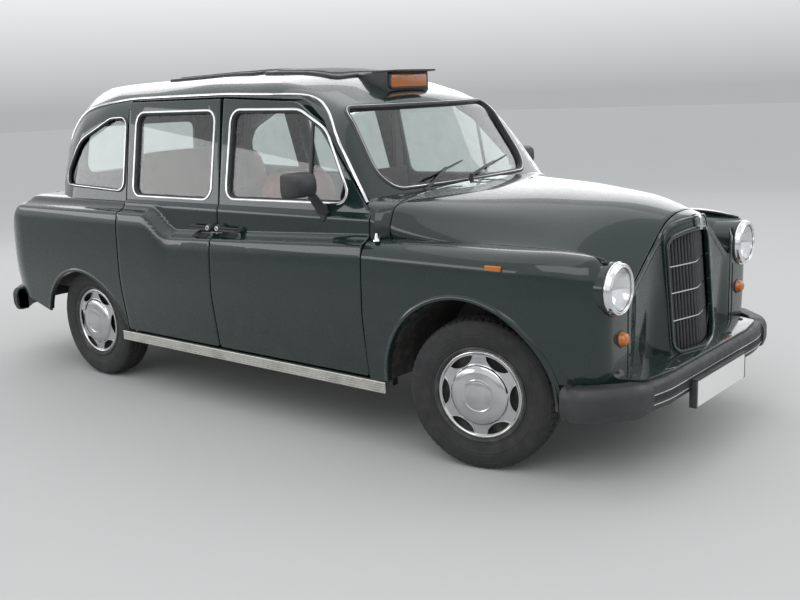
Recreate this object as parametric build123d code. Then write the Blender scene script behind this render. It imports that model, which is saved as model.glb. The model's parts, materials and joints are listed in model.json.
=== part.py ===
from build123d import *
import math
import os

# Purpose-built taxi cab, right-hand drive. +X is forward, +Y is the cab's left side and +Z is up.
# The origin is on the ground, under the middle of the cab's length. All sizes are in millimetres.

# Driving dimensions
wheelbase = 2810
front_overhang = 790
rear_overhang = 1010
track = 1422
tyre_radius = 338
tyre_width = 176
rim_radius = 204
rest_steer = 12            # degrees to the left, as it is parked
shut_gap = 8               # between a door, lid or wing and its neighbour
rest_gap = 0.3             # between a moving piece and its hinge or seat
door_thickness = 42
door_skin = 18             # the outer layer of a door, wider than its inner layer
edge_step = 10
skin = 16                  # wings, bonnet and tail
shell = 50                 # roof and pillars

overall_length = wheelbase + front_overhang + rear_overhang
nose_x = overall_length / 2
tail_x = -overall_length / 2
front_axle_x = nose_x - front_overhang
rear_axle_x = tail_x + rear_overhang
wheel_y = track / 2
axle_z = tyre_radius

# Panel joints along the side, and heights
a_seam_x = front_axle_x - 548
c_seam_x = rear_axle_x + 405
b_seam_x = a_seam_x - 1055
seam_lean = 45             # how far the door edges lean back at the roof
door_foot_z = 348
waist_z = 1095
rail_z = 1637
floor_z = 400
floor_plate = 12
bumper_depth = 22          # from the number plate's face back to the bumper's face

# The cab's side as seen from the front: half-width, height and corner radius
side_table = [
    # y, z, radius
    (834, 330, 0),
    (872, 640, 900),
    (860, 900, 260),
    (845, 964, 24),
    (792, 1068, 60),
    (772, waist_z, 60),
    (657, rail_z, 0),
]
# The rear wings stand fuller at the shoulder
wing_side_table = [
    # y, z, radius
    (834, 330, 0),
    (872, 640, 900),
    (872, 930, 200),
    (846, 1042, 60),
    (790, 1062, 30),
    (774, waist_z - 12, 20),
    (769, waist_z, 0),
]
waist_y = side_table[5][0]
rail_y = side_table[6][0]
widest_y = side_table[1][0]
side_slope = (waist_y - rail_y) / (rail_z - waist_z)


def rounded_wire(corners):
    """A closed wire through 3-D corners, each given as (point, radius), with arcs at the rounded ones."""
    count = len(corners)
    ends = []
    for i, (point, radius) in enumerate(corners):
        here = Vector(*point)
        before = Vector(*corners[i - 1][0])
        after = Vector(*corners[(i + 1) % count][0])
        if radius <= 0:
            ends.append((here, None, here))
            continue
        back = (before - here).normalized()
        ahead = (after - here).normalized()
        half = math.radians(back.get_angle(ahead)) / 2
        room = 0.48 * min((before - here).length, (after - here).length)
        reach = min(radius / math.tan(half), room)
        radius = reach * math.tan(half)
        middle = (back + ahead).normalized()
        centre = here + middle * (radius / math.sin(half))
        ends.append((here + back * reach, centre - middle * radius, here + ahead * reach))
    edges = []
    for i, (start, middle, end) in enumerate(ends):
        if middle is not None:
            edges.append(Edge.make_three_point_arc(start, middle, end))
        following = ends[(i + 1) % count][0]
        if (following - end).length > 1e-3:
            edges.append(Edge.make_line(end, following))
    return Wire(edges)


def prism_y(table, low, high):
    """An (x, z, radius) outline, extruded from y = low to y = high."""
    wire = rounded_wire([((x, low, z), r) for x, z, r in table])
    return extrude(Face(wire), high - low, dir=(0, 1, 0))


def prism_x(table, low, high):
    """A (y, z, radius) outline, extruded from x = low to x = high."""
    wire = rounded_wire([((low, y, z), r) for y, z, r in table])
    return extrude(Face(wire), high - low, dir=(1, 0, 0))


def prism_z(table, low, high):
    """An (x, y, radius) outline, extruded from z = low to z = high."""
    wire = rounded_wire([((x, y, low), r) for x, y, r in table])
    return extrude(Face(wire), high - low, dir=(0, 0, 1))


def block(x0, x1, y0, y1, z0, z1):
    """A plain block between two corners."""
    return Pos((x0 + x1) / 2, (y0 + y1) / 2, (z0 + z1) / 2) * Box(x1 - x0, y1 - y0, z1 - z0)


def rod(start, end, radius):
    """A round bar between two points."""
    a, b = Vector(*start), Vector(*end)
    return Plane(origin=a, z_dir=b - a) * Cylinder(
        radius, (b - a).length, align=(Align.CENTER, Align.CENTER, Align.MIN))


def disc_y(x, z, radius, low, high):
    """A round disc or hole across the cab, from y = low to y = high."""
    return rod((x, low, z), (x, high, z), radius)


def mirrored(table):
    """A half outline of (y, z, radius) from the left, with its mirror image on the right."""
    return table + [(-y, z, r) for y, z, r in reversed(table) if y != 0]


def both_sides(solid):
    """The solid of the left side and its mirror on the right."""
    return [solid, mirror(solid, about=Plane.XZ)]


def write(name, solids):
    """One STEP file for a node of one or more solids."""
    found = [s for shape in solids for s in shape.solids()]
    export_step(found[0] if len(found) == 1 else Compound(found), f"parts/{name}.step")


def write_pair(name, solid):
    """A left and a right node from the left solid."""
    for side, made in zip(("left", "right"), both_sides(solid)):
        write(f"{name}_{side}", [made])


def side_band(near, far, table=side_table):
    """A strip of the cab's side on the left, from near to far inboard of its outer surface."""
    outer = [(y - near, z, r) for y, z, r in table]
    inner = [(y - far, z, r) for y, z, r in reversed(table)]
    return outer + inner


# Doors

def front_door_outline(grow=0):
    """The left or right front door from the side, grown all round."""
    rear = b_seam_x + shut_gap / 2 - grow
    front = a_seam_x - shut_gap / 2 + grow
    top = rail_z - 5 + grow
    return [
        (rear, door_foot_z - grow, 18),
        (front, door_foot_z - grow, 18),
        (front, waist_z + 8, 12),
        (front - 40, waist_z + 40 + grow, 20),
        (front - 370, 1500 + grow, 150),
        (front - 540, 1604 + grow, 160),
        (rear - seam_lean + 9, top, 10),
        (rear, waist_z, 60),
    ]


def rear_door_outline(grow=0):
    """The left or right rear door from the side, grown all round."""
    rear = c_seam_x + shut_gap / 2 - grow
    front = b_seam_x - shut_gap / 2 + grow
    top = rail_z - 5 + grow
    return [
        (rear, door_foot_z - grow, 18),
        (front, door_foot_z - grow, 18),
        (front, waist_z, 60),
        (front - seam_lean - 9, top, 10),
        (rear - seam_lean, top, 10),
        (rear, waist_z, 60),
    ]


window_foot_z = 1130
window_top_z = 1572
front_window = [
    # x, z, radius
    (b_seam_x + 55, window_foot_z, 60),
    (a_seam_x - 130, window_foot_z + 8, 45),
    (a_seam_x - 330, 1468, 160),
    (a_seam_x - 520, 1564, 150),
    (b_seam_x + 40, window_top_z, 60),
]
rear_window = [
    (c_seam_x + 62, window_foot_z - 10, 60),
    (b_seam_x - 70, window_foot_z - 10, 60),
    (b_seam_x - 92, window_top_z, 60),
    (c_seam_x + 38, window_top_z, 60),
]
quarter_window = [
    (c_seam_x - 25, window_foot_z + 5, 50),
    (c_seam_x - 48, 1556, 60),
    (c_seam_x - 210, 1552, 150),
    (c_seam_x - 500, 1430, 200),
    (c_seam_x - 690, window_foot_z + 32, 60),
]
# The raised shoulder of the rear wing begins on the rear door, behind this line
shoulder_line = [
    (c_seam_x - 200, 300, 0),
    (c_seam_x + 420, 300, 0),
    (c_seam_x + 420, 930, 60),
    (c_seam_x + 300, 955, 70),
    (c_seam_x + 180, 1048, 70),
    (c_seam_x - 200, 1056, 0),
]
left_low, left_high = 500, 950      # y range that holds the whole left side
pane = 6


def glass_pane(outline, depth, table=side_table):
    """Window glass on the left side, its middle at a depth inside the outer surface."""
    band = prism_x(side_band(depth - pane / 2, depth + pane / 2, table), tail_x, nose_x)
    return band & prism_y(outline, left_low, left_high)


def make_door(outline, window, shoulder=False):
    """A left door: its whole thickness in two layers, with the window cut out."""
    door = None
    for near, far, shrink in ((0, door_skin, 0), (door_skin, door_thickness, edge_step)):
        band = prism_x(side_band(near, far), tail_x, nose_x)
        if shoulder and near == 0:
            bulge = prism_x(side_band(near, far, wing_side_table), tail_x, nose_x)
            band = band + (bulge & prism_y(shoulder_line, left_low, left_high))
        layer = band & prism_y(outline(-shrink), left_low, left_high)
        door = layer if door is None else door + layer
    return door - prism_y(window, left_low, left_high)


def make_handle(x0, x1):
    """A pull handle on two feet, on the left side."""
    low, high = 950, 968
    face = prism_x(side_band(-34, 0), tail_x, nose_x)
    bar = prism_x(side_band(-34, -20), tail_x, nose_x) & block(x0, x1, left_low, left_high, low, high)
    for foot in (x0, x1 - 26):
        bar = bar + (face & block(foot, foot + 26, left_low, left_high, low, high))
    return bar


def make_mirror():
    """A door mirror on its arm, on the left side."""
    foot_x = a_seam_x - 232
    head = block(foot_x - 60, foot_x - 8, 850, 1015, 1168, 1282)
    head = fillet(head.edges(), 16)
    arm = rod((foot_x, waist_y - 20, 1150), (foot_x - 30, 870, 1200), 14)
    pad = prism_x(side_band(-10, 0), tail_x, nose_x) & block(
        foot_x - 30, foot_x + 40, left_low, left_high, 1112, 1176)
    door_side = prism_x(side_band(0, door_thickness), tail_x, nose_x)
    return (head + arm + pad) - door_side


# Cab roof, pillars and door frames

screen_rake = 33.7         # degrees from upright
screen_radius = 2000
pillar_radius = 6000       # the flatter line of the pillars beside the glass
screen_middle = (a_seam_x - 14, 1226)      # x and z of the outside of the glass at mid-width
back_rake = -12
back_radius = 1750
back_middle = (rear_axle_x - 560, 1150)


def raked_drum(radius, inset, middle, rake, facing):
    """A large drum whose side is the curved windscreen or back window surface, less an inset."""
    angle = math.radians(rake)
    up = Vector(-math.sin(angle), 0, math.cos(angle))
    out = Vector(math.cos(angle), 0, math.sin(angle)) * facing
    axis = Vector(middle[0], 0, middle[1]) - out * radius
    return Plane(origin=axis, z_dir=up) * Cylinder(radius - inset, 4000)


def screen_drum(inset=0):
    """The space behind the windscreen's outer surface."""
    return raked_drum(screen_radius, inset, screen_middle, screen_rake, 1)


def pillar_drum(inset=0):
    """The space behind the front faces of the windscreen pillars."""
    return raked_drum(pillar_radius, inset, screen_middle, screen_rake, 1)


def back_drum(inset=0):
    """The space in front of the back window's outer surface."""
    return raked_drum(back_radius, inset, back_middle, back_rake, -1)


def rear_corner(inset, side):
    """The cab's space inside its rounded rear corner on one side, leaning in and forward with height."""
    outline = [
        (nose_x, -1300, 0),
        (nose_x, waist_y + 3 - inset, 0),
        (rear_axle_x - 405 + inset, waist_y + 3 - inset, 260 - inset),
        (rear_axle_x - 555 + inset, 440, 300),
        (rear_axle_x - 580 + inset, -100, 0),
        (rear_axle_x - 590 + inset, -1300, 0),
    ]
    base, height = waist_z - 200, 1000
    lean = math.tan(math.radians(-back_rake))
    shift_x, shift_y = (waist_z - base) * lean, (waist_z - base) * side_slope
    wire = rounded_wire([((x - shift_x, side * (y + shift_y), base), r) for x, y, r in outline])
    way = Vector(lean, -side * side_slope, 1)
    return extrude(Face(wire), height * way.length, dir=way)


def cab_space(inset=0):
    """The closed form of the cab above the waist, made smaller by an inset."""
    i = inset
    foot = waist_z - 10 - 3 * i
    side = [
        (rear_axle_x - 700, foot, 0),
        (rear_axle_x - 560 + i, foot + 40, 0),
        (rear_axle_x - 405 + i, 1742 - i, 350 - i),
        (b_seam_x - 300, 1774 - i, 3000),
        (b_seam_x + 360, 1750 - i, 1500),
        (front_axle_x - 830 - i, 1600 - i, 60),
        (front_axle_x - 300, 1200, 0),
        (front_axle_x - 300, foot, 0),
    ]
    half = [
        (waist_y + side_slope * (waist_z - foot) - i, foot, 0),
        (waist_y - side_slope * (1730 - waist_z) - i, 1730 - i, 130 - i / 2),
    ]
    section = half + [(0, 1777 - i, 2800)] + [(-y, z, r) for y, z, r in reversed(half)]
    space = prism_y(side, -900, 900) & prism_x(section, tail_x, nose_x)
    return space & pillar_drum(i) & back_drum(i) & rear_corner(i, 1) & rear_corner(i, -1)


screen_outline = [
    # y, z, radius of the glass seen from the front
    (-560, 1575, 60),
    (560, 1575, 60),
    (604, 1178, 90),
    (-604, 1178, 90),
]
back_outline = [
    (-440, 1515, 90),
    (440, 1515, 90),
    (470, 1185, 90),
    (-470, 1185, 90),
]
screen_reach = (front_axle_x - 1100, nose_x)
back_reach = (tail_x, rear_axle_x - 200)
glass_depth = 14

cab_outside = cab_space()
cab_inside = cab_space(shell)


def make_cab():
    """Roof, pillars and rear quarters in one shell, open at the doors and windows."""
    shell_form = cab_outside - cab_inside
    doors = [
        (c_seam_x - shut_gap / 2, 900, 0),
        (a_seam_x + shut_gap / 2, 900, 0),
        (a_seam_x + shut_gap / 2, waist_z + 8, 0),
        (a_seam_x - 38, waist_z + 48, 20),
        (a_seam_x - 368, 1510, 150),
        (a_seam_x - 538, 1614, 160),
        (b_seam_x - seam_lean + 10, rail_z + 4, 0),
        (c_seam_x - seam_lean - shut_gap / 2, rail_z + 4, 10),
        (c_seam_x - shut_gap / 2, waist_z, 60),
    ]
    shell_form -= prism_y(doors, -1000, 1000)
    shell_form -= prism_y(quarter_window, -1000, 1000)
    shell_form -= prism_x(screen_outline, *screen_reach)
    shell_form -= prism_x(back_outline, *back_reach)
    return shell_form


def make_screen_glass():
    """The windscreen and the back window, each seated in its opening."""
    front = (screen_drum(glass_depth) - screen_drum(glass_depth + pane)) & prism_x(
        screen_outline, *screen_reach) & cab_outside
    back = (back_drum(glass_depth) - back_drum(glass_depth + pane)) & prism_x(
        back_outline, *back_reach) & cab_outside
    return front, back


frame_depth = door_thickness + shut_gap
frame_width = 30
frame_lap = 40
post_reach = 54            # how far the front and rear posts run past the door openings
hinge_heights = (470, 880)
rear_arch = (rear_axle_x - 15, 225, 430)        # x, z and radius


def arch_hole(grow=0):
    """The round cut of the rear wheel arches."""
    x, z, radius = rear_arch
    return disc_y(x, z, radius + grow, -1000, 1000)


def make_door_frames():
    """The frame inside the doors on the left: its posts, cant rail and sill."""
    inner = frame_depth + frame_width
    band = prism_x(side_band(frame_depth, inner), tail_x, nose_x)
    rear, front = c_seam_x - post_reach, a_seam_x + post_reach
    whole = [
        (rear, door_foot_z - 10, 0),
        (front, door_foot_z - 10, 0),
        (front, waist_z - 10, 0),
        (a_seam_x - 10, waist_z + 60, 0),
        (a_seam_x - 340, 1520, 150),
        (a_seam_x - 520, rail_z - 6, 100),
        (c_seam_x - seam_lean - post_reach, rail_z - 6, 0),
        (rear, waist_z, 0),
    ]
    frame = band & prism_y(whole, left_low, left_high)
    frame -= prism_y(front_door_outline(-frame_lap), 400, left_high)
    frame -= prism_y(rear_door_outline(-frame_lap), 400, left_high)
    below = block(rear, front, left_low, left_high, door_foot_z - 10, waist_z - 10)
    frame = (frame & below) + (frame & cab_inside)
    sill_y = side_table[0][0]
    frame += block(rear, front, 700, sill_y - frame_depth + 6, door_foot_z - 10, floor_z + 10)
    frame += block(rear + 60, front, 700, sill_y + 4, door_foot_z - 63, door_foot_z - 10)
    post = prism_x(side_band(skin, inner), tail_x, nose_x)
    frame += post & block(a_seam_x + 10, front, left_low, left_high, door_foot_z - 10, 915)
    wing_post = prism_x(
        [(y - skin, z, r) for y, z, r in wing_side_table[:4]]
        + [(y - inner, z, r) for y, z, r in reversed(side_table[:4])], tail_x, nose_x)
    frame += wing_post & block(rear, c_seam_x - 10, left_low, left_high, door_foot_z - 10, 1030)
    hinge = prism_x(side_band(door_thickness + rest_gap, inner), tail_x, nose_x)
    for z in hinge_heights:
        for x in (a_seam_x - 36, c_seam_x + 6):
            frame += hinge & block(x, x + 30, left_low, left_high, z - 30, z + 30)
    frame -= wing_space(0) - wing_space(skin)
    frame -= tail_space(0) - tail_space(skin)
    return frame - arch_hole()


# Floor, bulkhead and wheel houses

bulkhead_x = a_seam_x + 58
seat_pan_z = 580
boot_floor_z = 500
riser_x = c_seam_x - 18
boot_step_x = rear_axle_x - 405
boot_end_x = tail_x + 66
house_radius = tyre_radius + 27
house_y = wheel_y - 133            # inner faces of the rear wheel houses
house_end_y = wheel_y + 21
floor_y = 700


def make_floor_pan():
    """The bulkhead, the flat floor, the raised seat pan, the boot floor and the rear wheel houses."""
    t = floor_plate
    pan = block(riser_x, bulkhead_x + t, -floor_y, floor_y, floor_z, floor_z + t)
    pan += block(bulkhead_x, bulkhead_x + t, -floor_y, floor_y, floor_z, scuttle_foot_z)
    pan += block(riser_x - t, riser_x, -house_y, house_y, floor_z, seat_pan_z + t)
    pan += block(boot_step_x, riser_x, -house_y, house_y, seat_pan_z, seat_pan_z + t)
    pan += block(boot_step_x - t, boot_step_x, -house_y, house_y, boot_floor_z, seat_pan_z + t)
    pan += block(boot_end_x, boot_step_x, -house_y, house_y, boot_floor_z, boot_floor_z + t)
    above = block(tail_x, nose_x, -900, 900, floor_z, 1200)
    for side in (-1, 1):
        y0, y1 = sorted((side * house_y, side * house_end_y))
        w0, w1 = sorted((side * house_y, side * (house_y + t)))
        house = disc_y(rear_axle_x, axle_z, house_radius + t, y0, y1)
        house -= disc_y(rear_axle_x, axle_z, house_radius, y0, y1)
        house += disc_y(rear_axle_x, axle_z, house_radius + t, w0, w1)
        pan += house & above
        r0, r1 = sorted((side * rail_y0, side * rail_y1))
        pan -= prism_y(rail_profile, r0, r1)
    return pan


# Scuttle, bonnet, front wings and nose

scuttle_foot_z = 975
scuttle_end_x = a_seam_x + 75
bonnet_seam_y = 700
face_x = front_axle_x + 612          # front faces of the wings' noses
face_plate = 18
lamp_y, lamp_z, lamp_radius = 658, 838, 108
crown_rear_z = 1192

# Sections of the bonnet's outer surface, from the rear forward, as distances ahead of the rear edge
bonnet_sections = [
    # ahead, crown z, shoulder y and z, valley y and z, lamp pod y and z, foot z
    (0, crown_rear_z, 600, 1112, 675, 1010, 690, 988, 975),
    (455, 1178, 520, 1085, 650, 992, 680, 980, 970),
    (855, 1136, 380, 1048, 600, 925, 650, 946, 960),
    (1005, 1094, 290, 1010, 548, 815, 590, 925, 957),
    (1055, 1075, 265, 985, 545, 765, 578, 915, 955),
]


def bonnet_wire(x, row, drop):
    """One closed section of the bonnet at x, its outer surface lowered by a drop."""
    crown, sy, sz, vy, vz, py, pz, foot = row[1:]
    low = 600
    half = [
        (bonnet_seam_y, low, 0),
        (bonnet_seam_y, foot - drop, 0),
        (py, pz - drop, 40),
        (vy, vz - drop, 60),
        (sy, sz - drop, 160),
    ]
    table = half + [(0, crown - drop, 2400)] + [(-y, z, r) for y, z, r in reversed(half)]
    return rounded_wire([((x, y, z), r) for y, z, r in table])


def bonnet_form(drop, start, overrun=0):
    """The space under the bonnet's outer surface, lowered by a drop."""
    wires = [bonnet_wire(start + row[0], row, drop) for row in bonnet_sections]
    if overrun:
        wires[0] = bonnet_wire(start - overrun, bonnet_sections[0], drop)
        wires[-1] = bonnet_wire(start + bonnet_sections[-1][0] + overrun, bonnet_sections[-1], drop)
    return Solid.make_loft(wires, True)


bonnet_start_x = scuttle_end_x + shut_gap
bonnet_end_x = bonnet_start_x + bonnet_sections[-1][0]


def make_bonnet():
    """The one-piece bonnet lid, between the seams along the wings."""
    lid = bonnet_form(0, bonnet_start_x) - bonnet_form(skin, bonnet_start_x, overrun=5)
    half = bonnet_seam_y - shut_gap
    return lid & block(bonnet_start_x, bonnet_end_x, -half, half, 700, 1300)


def make_scuttle():
    """The panel between the bonnet and the windscreen, with the bonnet's two hinge pads."""
    table = mirrored([
        (waist_y - 2, scuttle_foot_z, 0),
        (waist_y - 2, waist_z - 30, 60),
        (600, 1118, 150),
    ])
    half_count = 3
    table = table[:half_count] + [(0, crown_rear_z + 6, 2400)] + table[half_count:]
    form = prism_x(table, a_seam_x + shut_gap / 2, scuttle_end_x)
    form -= block(a_seam_x - 10, bulkhead_x, -floor_y, floor_y, scuttle_foot_z - 5, 1060)
    pads = bonnet_form(skin + rest_gap, bonnet_start_x, overrun=shut_gap + 5)
    for y in (-330, 330):
        form += pads & block(scuttle_end_x, scuttle_end_x + 34, y - 25, y + 25, 1100, 1300)
        form += block(scuttle_end_x - 20, scuttle_end_x + 34, y - 25, y + 25, 1050, 1102)
    form -= cab_outside
    for wing, frame in zip(both_sides(wing_space(0)), both_sides(make_door_frames())):
        form = form - wing - frame
    return form


front_arch_radius = 432
lip_width = 18


def wing_space(inset):
    """The left front wing's closed form, made smaller by an inset."""
    i = inset
    open_side = 120 if i else 0
    low = 250 if i else 340
    front_low = low if i else 458
    profile = [
        (834 - i, 250, 0),
        (widest_y - i, 640, 900),
        (862 - i, 880, 200),
        (806 - i, 984 - i, 90),
        (bonnet_seam_y - open_side, 975 - i, 0),
        (bonnet_seam_y - open_side, 250, 0),
    ]
    rear_x = a_seam_x + shut_gap / 2 - open_side
    plan = [
        (rear_x, widest_y + 10 - i, 0),
        (front_axle_x + 340, widest_y - i, 420),
        (face_x - 30 - i, 778 - i, 110),
        (face_x - i, 740, 0),
        (face_x - i, bonnet_seam_y - open_side, 0),
        (rear_x, bonnet_seam_y - open_side, 0),
    ]
    side = [
        (rear_x, low, 0),
        (front_axle_x + 400, low, 0),
        (front_axle_x + 455, front_low, 0),
        (face_x + 5, front_low, 0),
        (face_x + 5, 930 - i, 60),
        (face_x - 130, 990 - i, 200),
        (rear_x, 1000, 0),
    ]
    return prism_x(profile, tail_x, nose_x) & prism_z(plan, 200, 1100) & prism_y(side, 400, 950)


nose_plate = [
    # y, z, radius of the wing's front face round the headlamp
    (519, 456, 0),
    (548, 607, 0),
    (568, 760, 0),
    (552, 838, 40),
    (584, 912, 60),
    (658, 948, 60),
    (760, 930, 40),
    (778, 760, 0),
    (774, 458, 0),
]
house_inner_y = wheel_y - 327      # clear of the tyre at full lock


def make_front_wing():
    """The left front wing: its skin, arch lip, nose plate and the inner arch over the wheel."""
    wing = wing_space(0) - wing_space(skin)
    arch = disc_y(front_axle_x, axle_z, front_arch_radius, 300, 1000)
    wing -= arch
    above = block(a_seam_x + 80, face_x, 300, 1000, door_foot_z, 1000)
    lip = disc_y(front_axle_x, axle_z, front_arch_radius + lip_width, 820, widest_y + 6) - arch
    cover = disc_y(front_axle_x, axle_z, front_arch_radius + floor_plate, house_inner_y, 820) - arch
    wall = disc_y(front_axle_x, axle_z, front_arch_radius + floor_plate,
                  house_inner_y - floor_plate, house_inner_y)
    wall &= block(a_seam_x, nose_x, 300, 500, axle_z + 190, 1000)
    wing += (lip + cover) & above
    wing += wall
    wing += prism_x(nose_plate, face_x - face_plate, face_x)
    return wing


grille_half, grille_foot, grille_top = 203, 500, 950
cowl_x = face_x + 62


def grille_outline(grow=0):
    """The grille opening from the front, grown all round."""
    return mirrored([
        (grille_half + grow, grille_foot - grow, 55 + grow),
        (grille_half + grow, grille_top - 40 + grow, 60 + grow),
    ])[:2] + [(0, grille_top + 14 + grow, 900)] + [
        (-grille_half - grow, grille_top - 40 + grow, 60 + grow),
        (-grille_half - grow, grille_foot - grow, 55 + grow),
    ]


def make_front_panel():
    """The panel between the wings, the raised cowl round the grille, and the shelf over the bumper."""
    last = bonnet_sections[-1]
    half = [
        (nose_plate[0][0], nose_plate[0][1], 0),
        (nose_plate[1][0], nose_plate[1][1], 0),
        (nose_plate[2][0], nose_plate[2][1], 0),
        (last[4] - 15, last[5], 0),
        (last[2], last[3], 160),
    ]
    outline = half + [(0, last[1], 2400)] + [(-y, z, r) for y, z, r in reversed(half)]
    panel = prism_x(outline, face_x - face_plate, face_x)
    cowl = [
        (grille_half + 55, 456, 40),
        (grille_half + 62, last[3] + 10, 120),
        (0, last[1] - 4, 2400),
        (-grille_half - 62, last[3] + 10, 120),
        (-grille_half - 55, 456, 40),
    ]
    panel += prism_x(cowl, face_x - face_plate, cowl_x)
    panel -= prism_x(grille_outline(), face_x - 200, nose_x)
    shelf = [
        (face_x, -640, 0),
        (bumper_x - 60, -600, 60),
        (bumper_x - 26, -400, 0),
        (bumper_x - 26, 400, 0),
        (bumper_x - 60, 600, 60),
        (face_x, 640, 0),
    ]
    return panel + prism_z(shelf, 456, 470)


grille_bars = 12
grille_rails = (620, 735, 850)


def make_grille():
    """A rim, upright slats and three cross rails, joined to each other."""
    ring_x0, ring_x1 = cowl_x - 34, cowl_x - 4
    hole = prism_x(grille_outline(-12), face_x, nose_x)
    grille = prism_x(grille_outline(), ring_x0, ring_x1) - hole
    inside = prism_x(grille_outline(-6), ring_x0 + 4, ring_x1)
    pitch = 2 * grille_half / (grille_bars + 1)
    bars = None
    for i in range(grille_bars):
        y = -grille_half + pitch * (i + 1)
        bar = block(ring_x0 + 6, ring_x0 + 22, y - 5, y + 5, grille_foot - 5, grille_top + 20)
        bars = bar if bars is None else bars + bar
    for z in grille_rails:
        bars += block(ring_x0 + 14, ring_x0 + 24, -grille_half, grille_half, z - 4, z + 4)
    return grille + (bars & inside)


# Tail, boot lid and rear wings

tail_face_x = tail_x + 25
tail_corner = 380
tail_foot_z = 460
tail_split_y = 600
shelf_start_x = rear_axle_x - 230  # front edge of the shelf that runs under the cab's rear corners
lid_foot_z = 505
lid_top_x = rear_axle_x - 660      # the lid's upper edge, where it is hinged
lid_half = (455, 430)              # its half-width at the foot and at the top


def lid_reach(grow=0):
    """The space that holds the boot lid, grown all round."""
    foot, top = lid_half[0] + grow, lid_half[1] + grow
    low, edge = lid_foot_z - grow, lid_top_x + grow
    sides = [(-foot, low, 50), (foot, low, 50), (top, 1200, 0), (-top, 1200, 0)]
    plan = [(tail_x, -600, 0), (edge, -top, 60), (edge, top, 60), (tail_x, 600, 0)]
    return prism_x(sides, tail_x, edge) & prism_z(plan, 300, 1300)


def tail_space(inset):
    """The rear of the body below the waist, made smaller by an inset."""
    i = inset
    past = 100 if i else 0
    front = c_seam_x - shut_gap / 2 + past
    top = waist_z + 2 * past
    low = 330 - past
    half = [(y - i, z, r) for y, z, r in wing_side_table]
    half[0] = (half[0][0], low, 0)
    half[-1] = (half[-1][0], top, 0)
    half_plan = widest_y + 5 - i
    plan = [
        (front, -half_plan, 0),
        (front, half_plan, 0),
        (tail_face_x + i, half_plan, tail_corner - i),
        (tail_face_x + i, -half_plan, tail_corner - i),
    ]
    rear_low = low if i else tail_foot_z
    side = [(front, low, 0), (front, top, 0)]
    if i:
        side += [(shelf_start_x, top, 0), (shelf_start_x, waist_z - i, 0)]
    side += [
        (rear_axle_x - 556, waist_z - i, 0),
        (rear_axle_x - 705 + i, 1042 - i, 150),
        (rear_axle_x - 865 + i, 900 - i, 200),
        (rear_axle_x - 960 + i, 700 - i, 200),
        (tail_face_x + i, 480, 0),
        (tail_face_x + i, rear_low, 0),
        (rear_axle_x - 740, low if i else rear_low, 0),
        (rear_axle_x - 330, low if i else rear_low - 30, 0),
        (rear_axle_x - 330, low, 0),
    ]
    return prism_x(mirrored(half), tail_x, nose_x) & prism_z(plan, 200, 1400) & prism_y(side, -950, 950)


def make_tail():
    """The boot lid, the tail panel round it and the left rear wing."""
    body = tail_space(0) - tail_space(skin) - cab_outside - arch_hole()
    lid = body & lid_reach()
    middle = block(tail_x, rear_axle_x - 300, -tail_split_y, tail_split_y, 300, 1300)
    panel = (body & middle) - lid_reach(shut_gap)
    seat_x = tail_face_x + skin
    slope_x = seat_x + 9 + rest_gap
    panel += block(seat_x, slope_x + 12, -380, 380, tail_foot_z + 5, lid_foot_z - shut_gap)
    panel += block(slope_x, slope_x + 12, -380, 380, lid_foot_z - shut_gap, 548)
    wing = body & block(tail_x, c_seam_x, tail_split_y, 950, 300, 1300)
    return lid, panel, wing


# Bumpers

bumper_x = nose_x - bumper_depth
bumper_thick = 60
front_bumper_z = (345, 455)
rear_bumper_z = (367, 457)


def bumper_bar(face, depth, heights):
    """A bumper wrapped round the corners, for a face at x = face on the +X side."""
    t = bumper_thick
    half = [
        (face - depth, 862, 0),
        (face - depth + 90, 862, 90),
        (face - 40, 706, 160),
        (face, 480, 600),
    ]
    inner = [
        (face - t, 470, 600),
        (face - 42 - t, 660, 120),
        (face - depth + 76, 862 - t, 60),
        (face - depth, 862 - t, 0),
    ]
    table = half + [(x, -y, r) for x, y, r in reversed(half)]
    table += [(x, -y, r) for x, y, r in reversed(inner)] + inner
    bar = prism_z(table, *heights)
    return bar


def make_front_bumper():
    """The front bumper with the number plate's holder below its face."""
    bar = bumper_bar(bumper_x, 290, front_bumper_z)
    holder = block(bumper_x - 10, nose_x - 6, -268, 268, 272, 346)
    holder += block(bumper_x, nose_x - 6, -268, 268, 340, 392)
    return bar + holder


def make_rear_bumper():
    """The rear bumper."""
    return Rot(0, 0, 180) * bumper_bar(-tail_x, 250, rear_bumper_z)


plate_size = (520, 111)
front_plate_z = 331
rear_plate_z = 620


def make_plates():
    """The blank front and rear number plates."""
    w, h = plate_size[0] / 2, plate_size[1] / 2
    front = block(nose_x - 6, nose_x, -w, w, front_plate_z - h, front_plate_z + h)
    rear = block(tail_face_x - 6, tail_face_x + 40, -w, w, rear_plate_z - h, rear_plate_z + h)
    return front, rear - tail_space(0)


# Lamps

lens_radius = 86
indicator = (612, 626, 32)          # y, z and radius
repeater = (front_axle_x + 170, 917)


def make_headlamp_ring():
    """The bright ring round the left headlamp."""
    ring = rod((face_x, lamp_y, lamp_z), (face_x + 30, lamp_y, lamp_z), lamp_radius)
    ring = fillet(ring.edges().group_by(Axis.X)[-1], 12)
    return ring - rod((face_x - 1, lamp_y, lamp_z), (face_x + 31, lamp_y, lamp_z), lens_radius)


def make_headlamp_lens():
    """The left headlamp's domed lens."""
    lens = rod((face_x, lamp_y, lamp_z), (face_x + 36, lamp_y, lamp_z), lens_radius)
    return fillet(lens.edges().group_by(Axis.X)[-1], 22)


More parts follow.
